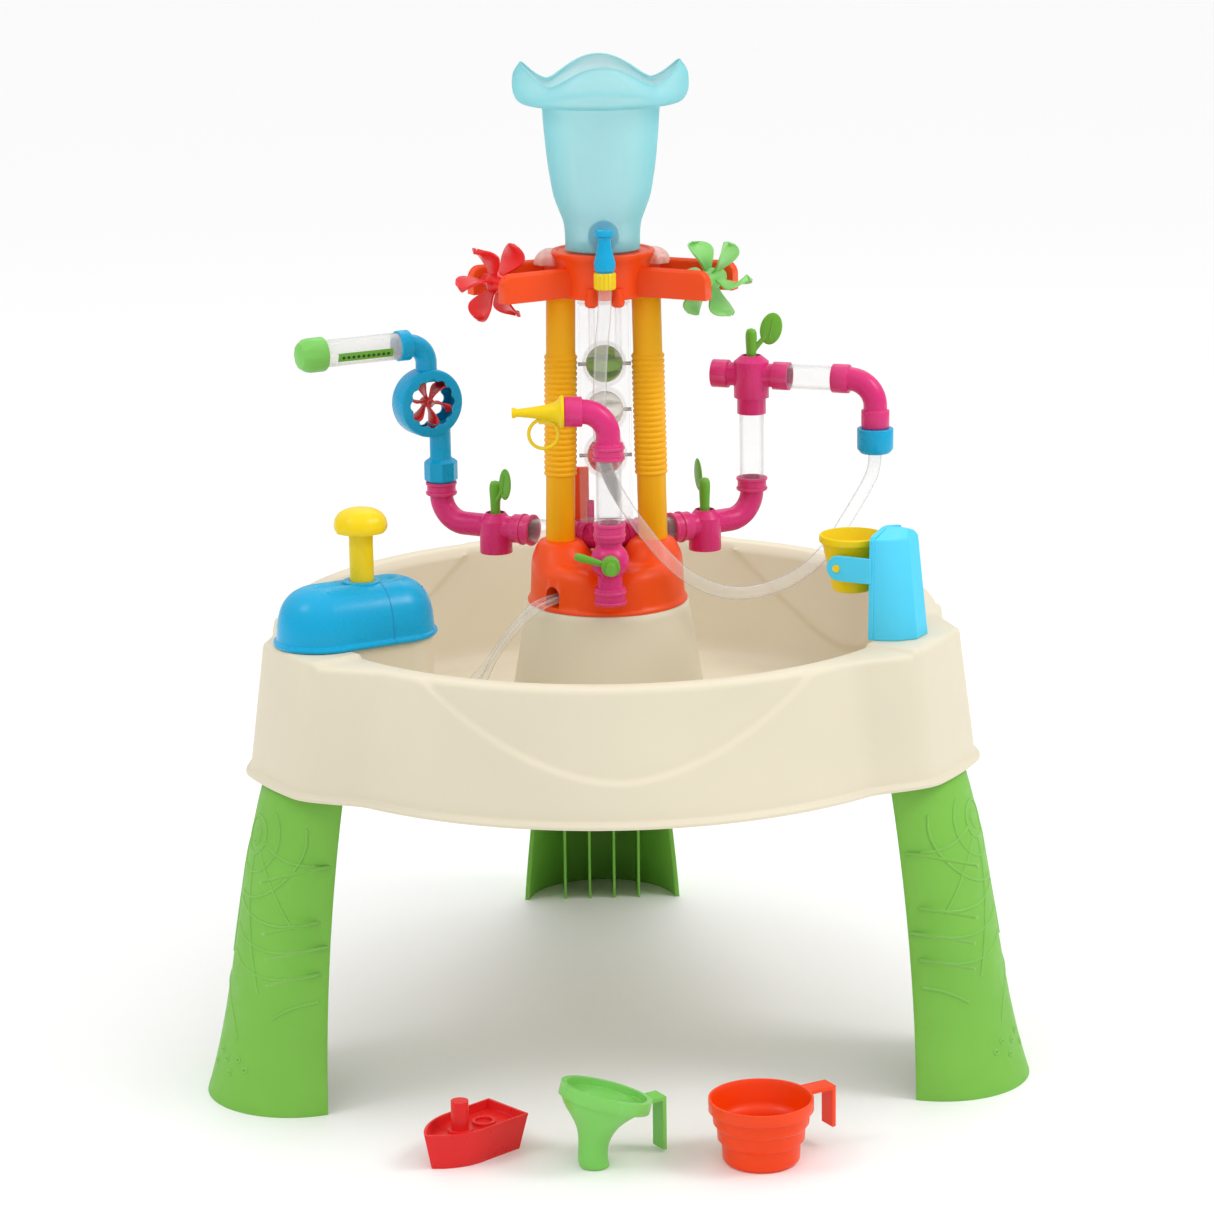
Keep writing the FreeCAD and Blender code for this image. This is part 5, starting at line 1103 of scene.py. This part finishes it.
def make_sprinkler(foot, level, offset):
    """The clear tube, its faceted end cap, and the green strip with spray holes inside its front."""
    finish_node("sprinkler_tube", MILKY, 0.4)
    cap_at = offset + 22 + 4 + 99
    rows = [(14.5, 0), (18.4, 0), (19, 1.5), (19, 17), (17.8, 23), (14, 28), (8.5, 30), (0.01, 30.3)]
    rings = []
    for radius, reach in rows:
        rings.append([polar(radius * (1 - (0.035 if reach > 4 else 0.0)
                                      * (0.5 - 0.5 * math.cos(math.radians(10 * 360 * k / 80)))),
                            360 * k / 80, reach) for k in range(80)])
    cap = moved(skin(rings), along((cap_at, 0, level), (1, 0, 0)))
    piece("sprinkler_end", [moved(cap, foot)], APPLE, body="fan_pipe", stands_for="sprinkler_cap",
          smooth_angle=30)
    radius, middle, half_angle, start, stop = 15.5, -14, 18, cap_at - 78, cap_at - 12
    rows = []
    for reach in (start, start + 1, stop - 1, stop):
        shrink = 0.35 if reach in (start, stop) else 0.0
        arc = [middle - half_angle + half_angle * k / 4 for k in range(9)]
        row = [Vector((reach, (radius - shrink) * math.cos(math.radians(t)),
                       level + (radius - shrink) * math.sin(math.radians(t)))) for t in arc]
        row += [Vector((reach, (radius - 1.2) * math.cos(math.radians(t)),
                        level + (radius - 1.2) * math.sin(math.radians(t)))) for t in reversed(arc)]
        rows.append(row)
    piece("spray_bar", [moved(skin(rows), foot)], SPROUT, body="fan_pipe")
    # The spray holes are dark ellipsoids on the strip: painted shade inside the holes.
    holes = []
    for index in range(10):
        reach = mix(start + 6, stop - 6, index / 9)
        turn = math.radians(middle)
        at = (reach, (radius - 0.1) * math.cos(turn), level + (radius - 0.1) * math.sin(turn))
        holes.append(moved(ellipsoid((1.9, 0.5, 2.0), at), foot))
    piece("spray_holes", holes, DARK, body="fan_pipe")


# --- bucket -------------------------------------------------------------------------------------

def make_bucket_unit():
    out = frame_at((0, 0, 0), RIGHT_LEG)
    low, high = corners("splash_tower")
    foot, peak = low.z, high.z
    reach = 331
    pivot, _ = joint_place("bucket_tip")
    pivot_reach = math.hypot(pivot.x, pivot.y)

    def outline(height, depth, half):
        return [Vector((reach + x * depth, y * half, height)) for x, y in
                ((0, -1), (0.30, -0.97), (0.66, -0.80), (1, -0.36), (1, 0.36), (0.66, 0.80),
                 (0.30, 0.97), (0, 1))]
    rows = [outline(foot, 42, 38.5), outline(peak - 9.5, 31, 35.2), outline(peak - 7.5, 30, 34),
            outline(peak - 0.4, 25, 3)]
    hood = skin(rows)
    plate_rows = [[Vector((reach + x, y * half, height)) for x, y in
                   ((-3, -1), (2.5, -1), (2.5, 1), (-3, 1))]
                  for half, height in ((40, foot), (36.6, peak - 9), (33, peak - 5), (3, peak))]
    plate = skin(plate_rows)
    ears = []
    for side in (-1, 1):
        ring = []
        for t in range(90, 271, 15):
            ring.append(Vector((pivot_reach + 2 + 13.5 * math.cos(math.radians(t)) * 1.0, 0,
                                pivot.z + 13.5 * math.sin(math.radians(t)))))
        ring = ring + [Vector((reach, 0, pivot.z - 13.5)), Vector((reach, 0, pivot.z + 13.5))]
        faces = [[point + Vector((0, side * y, 0)) for point in ring] for y in (35.7, 39.4)]
        ears.append(skin(faces))
    piece("splash_hood", [moved(part, out) for part in [hood, plate] + ears], SKY,
          stands_for="splash_tower", rounding=1.1, smooth_angle=30)
    bucket_low, bucket_high = corners("bucket")
    bottom, top = bucket_low.z, bucket_high.z
    profile = [(0.01, bottom), (19, bottom), (21, bottom + 2), (31.4, top - 8.5), (34, top - 8),
               (34.5, top - 7), (34.5, top - 1), (33.6, top), (32.4, top), (29, top - 9),
               (18.6, bottom + 2.6), (0.01, bottom + 2.4)]
    at = out @ Matrix.Translation((pivot_reach, 0, 0))
    pins = [moved(lathe([(4, 31), (4, 41)], 24), Matrix.Translation((0, 0, pivot.z)) @
                  Matrix.Rotation(math.radians(90 * side), 4, "X")) for side in (-1, 1)]
    piece("tipping_bucket", [moved(lathe(profile, 72, (False, False)), at)] +
          [moved(pin, at) for pin in pins], LEMON, body="bucket", stands_for="bucket", rounding=0.4)


# --- toys ---------------------------------------------------------------------------------------

def make_toys():
    finish_node("boat", RED, 1.2)
    finish_node("funnel", APPLE, 0.9)
    finish_node("cup", CUP_ORANGE, 0.9)


# --- studio -------------------------------------------------------------------------------------

CAMERA_PLACE = Vector((-0.1120, -3.8991, 1.4236))
CAMERA_AIM = Vector((-0.0009, 0.0, 0.4689))
CAMERA_ROLL = -0.0143
CAMERA_LENS = 109.1


def make_camera():
    data = bpy.data.cameras.new("camera")
    data.lens = CAMERA_LENS
    data.sensor_width = 36
    camera = bpy.data.objects.new("camera", data)
    bpy.context.scene.collection.objects.link(camera)
    ahead = (CAMERA_AIM - CAMERA_PLACE).normalized()
    look = ahead.to_track_quat("-Z", "Y").to_matrix().to_4x4()
    camera.matrix_world = (Matrix.Translation(CAMERA_PLACE) @ look
                           @ Matrix.Rotation(CAMERA_ROLL, 4, "Z"))
    bpy.context.scene.camera = camera


def light(name, place, size, power, tone=(1, 1, 1)):
    data = bpy.data.lights.new(name, "AREA")
    data.shape = "RECTANGLE"
    data.size, data.size_y = size
    data.energy = power
    data.color = tone
    lamp = bpy.data.objects.new(name, data)
    bpy.context.scene.collection.objects.link(lamp)
    lamp.location = place
    lamp.rotation_mode = "QUATERNION"
    lamp.rotation_quaternion = (Vector((0, 0, 0.5)) - Vector(place)).to_track_quat("-Z", "Y")


def make_studio():
    world = bpy.data.worlds.new("studio")
    bpy.context.scene.world = world
    world.use_nodes = True
    tree = world.node_tree
    background = tree.nodes["Background"]
    background.inputs["Color"].default_value = (1, 1, 1, 1)
    direction = tree.nodes.new("ShaderNodeTexCoord")
    split = tree.nodes.new("ShaderNodeSeparateXYZ")
    rise = tree.nodes.new("ShaderNodeMapRange")
    for key, value in (("From Min", 0.0), ("From Max", 1.0), ("To Min", 0.5), ("To Max", 1.35)):
        rise.inputs[key].default_value = value
    tree.links.new(direction.outputs["Generated"], split.inputs[0])
    tree.links.new(split.outputs["Z"], rise.inputs["Value"])
    tree.links.new(rise.outputs["Result"], background.inputs["Strength"])
    light("right softbox", (2.6, -0.9, 3.0), (1.2, 1.2), 38)
    light("left softbox", (-2.4, -1.2, 3.2), (1.0, 1.0), 16)
    light("rear softbox", (0.6, 2.6, 3.4), (2.0, 1.2), 10)
    half = 30
    floor_mesh = bpy.data.meshes.new("floor")
    floor_mesh.from_pydata([(-half, -half, 0), (half, -half, 0), (half, half, 0), (-half, half, 0)], [],
                           [(0, 1, 2, 3)])
    floor = bpy.data.objects.new("floor", floor_mesh)
    bpy.context.scene.collection.objects.link(floor)
    nodes = Nodes("floor_white")
    nodes.set(Base_Color=(0.93, 0.93, 0.93, 1), Roughness=0.55)
    floor_mesh.materials.append(nodes.material)
    bpy.context.scene.view_settings.view_transform = "Standard"


make_camera()
make_studio()
make_hoses()
make_tub()
make_legs()
make_pump()
make_tower_base()
make_tower()
make_flower()
make_outlet()
make_pipes()
make_bucket_unit()
make_toys()
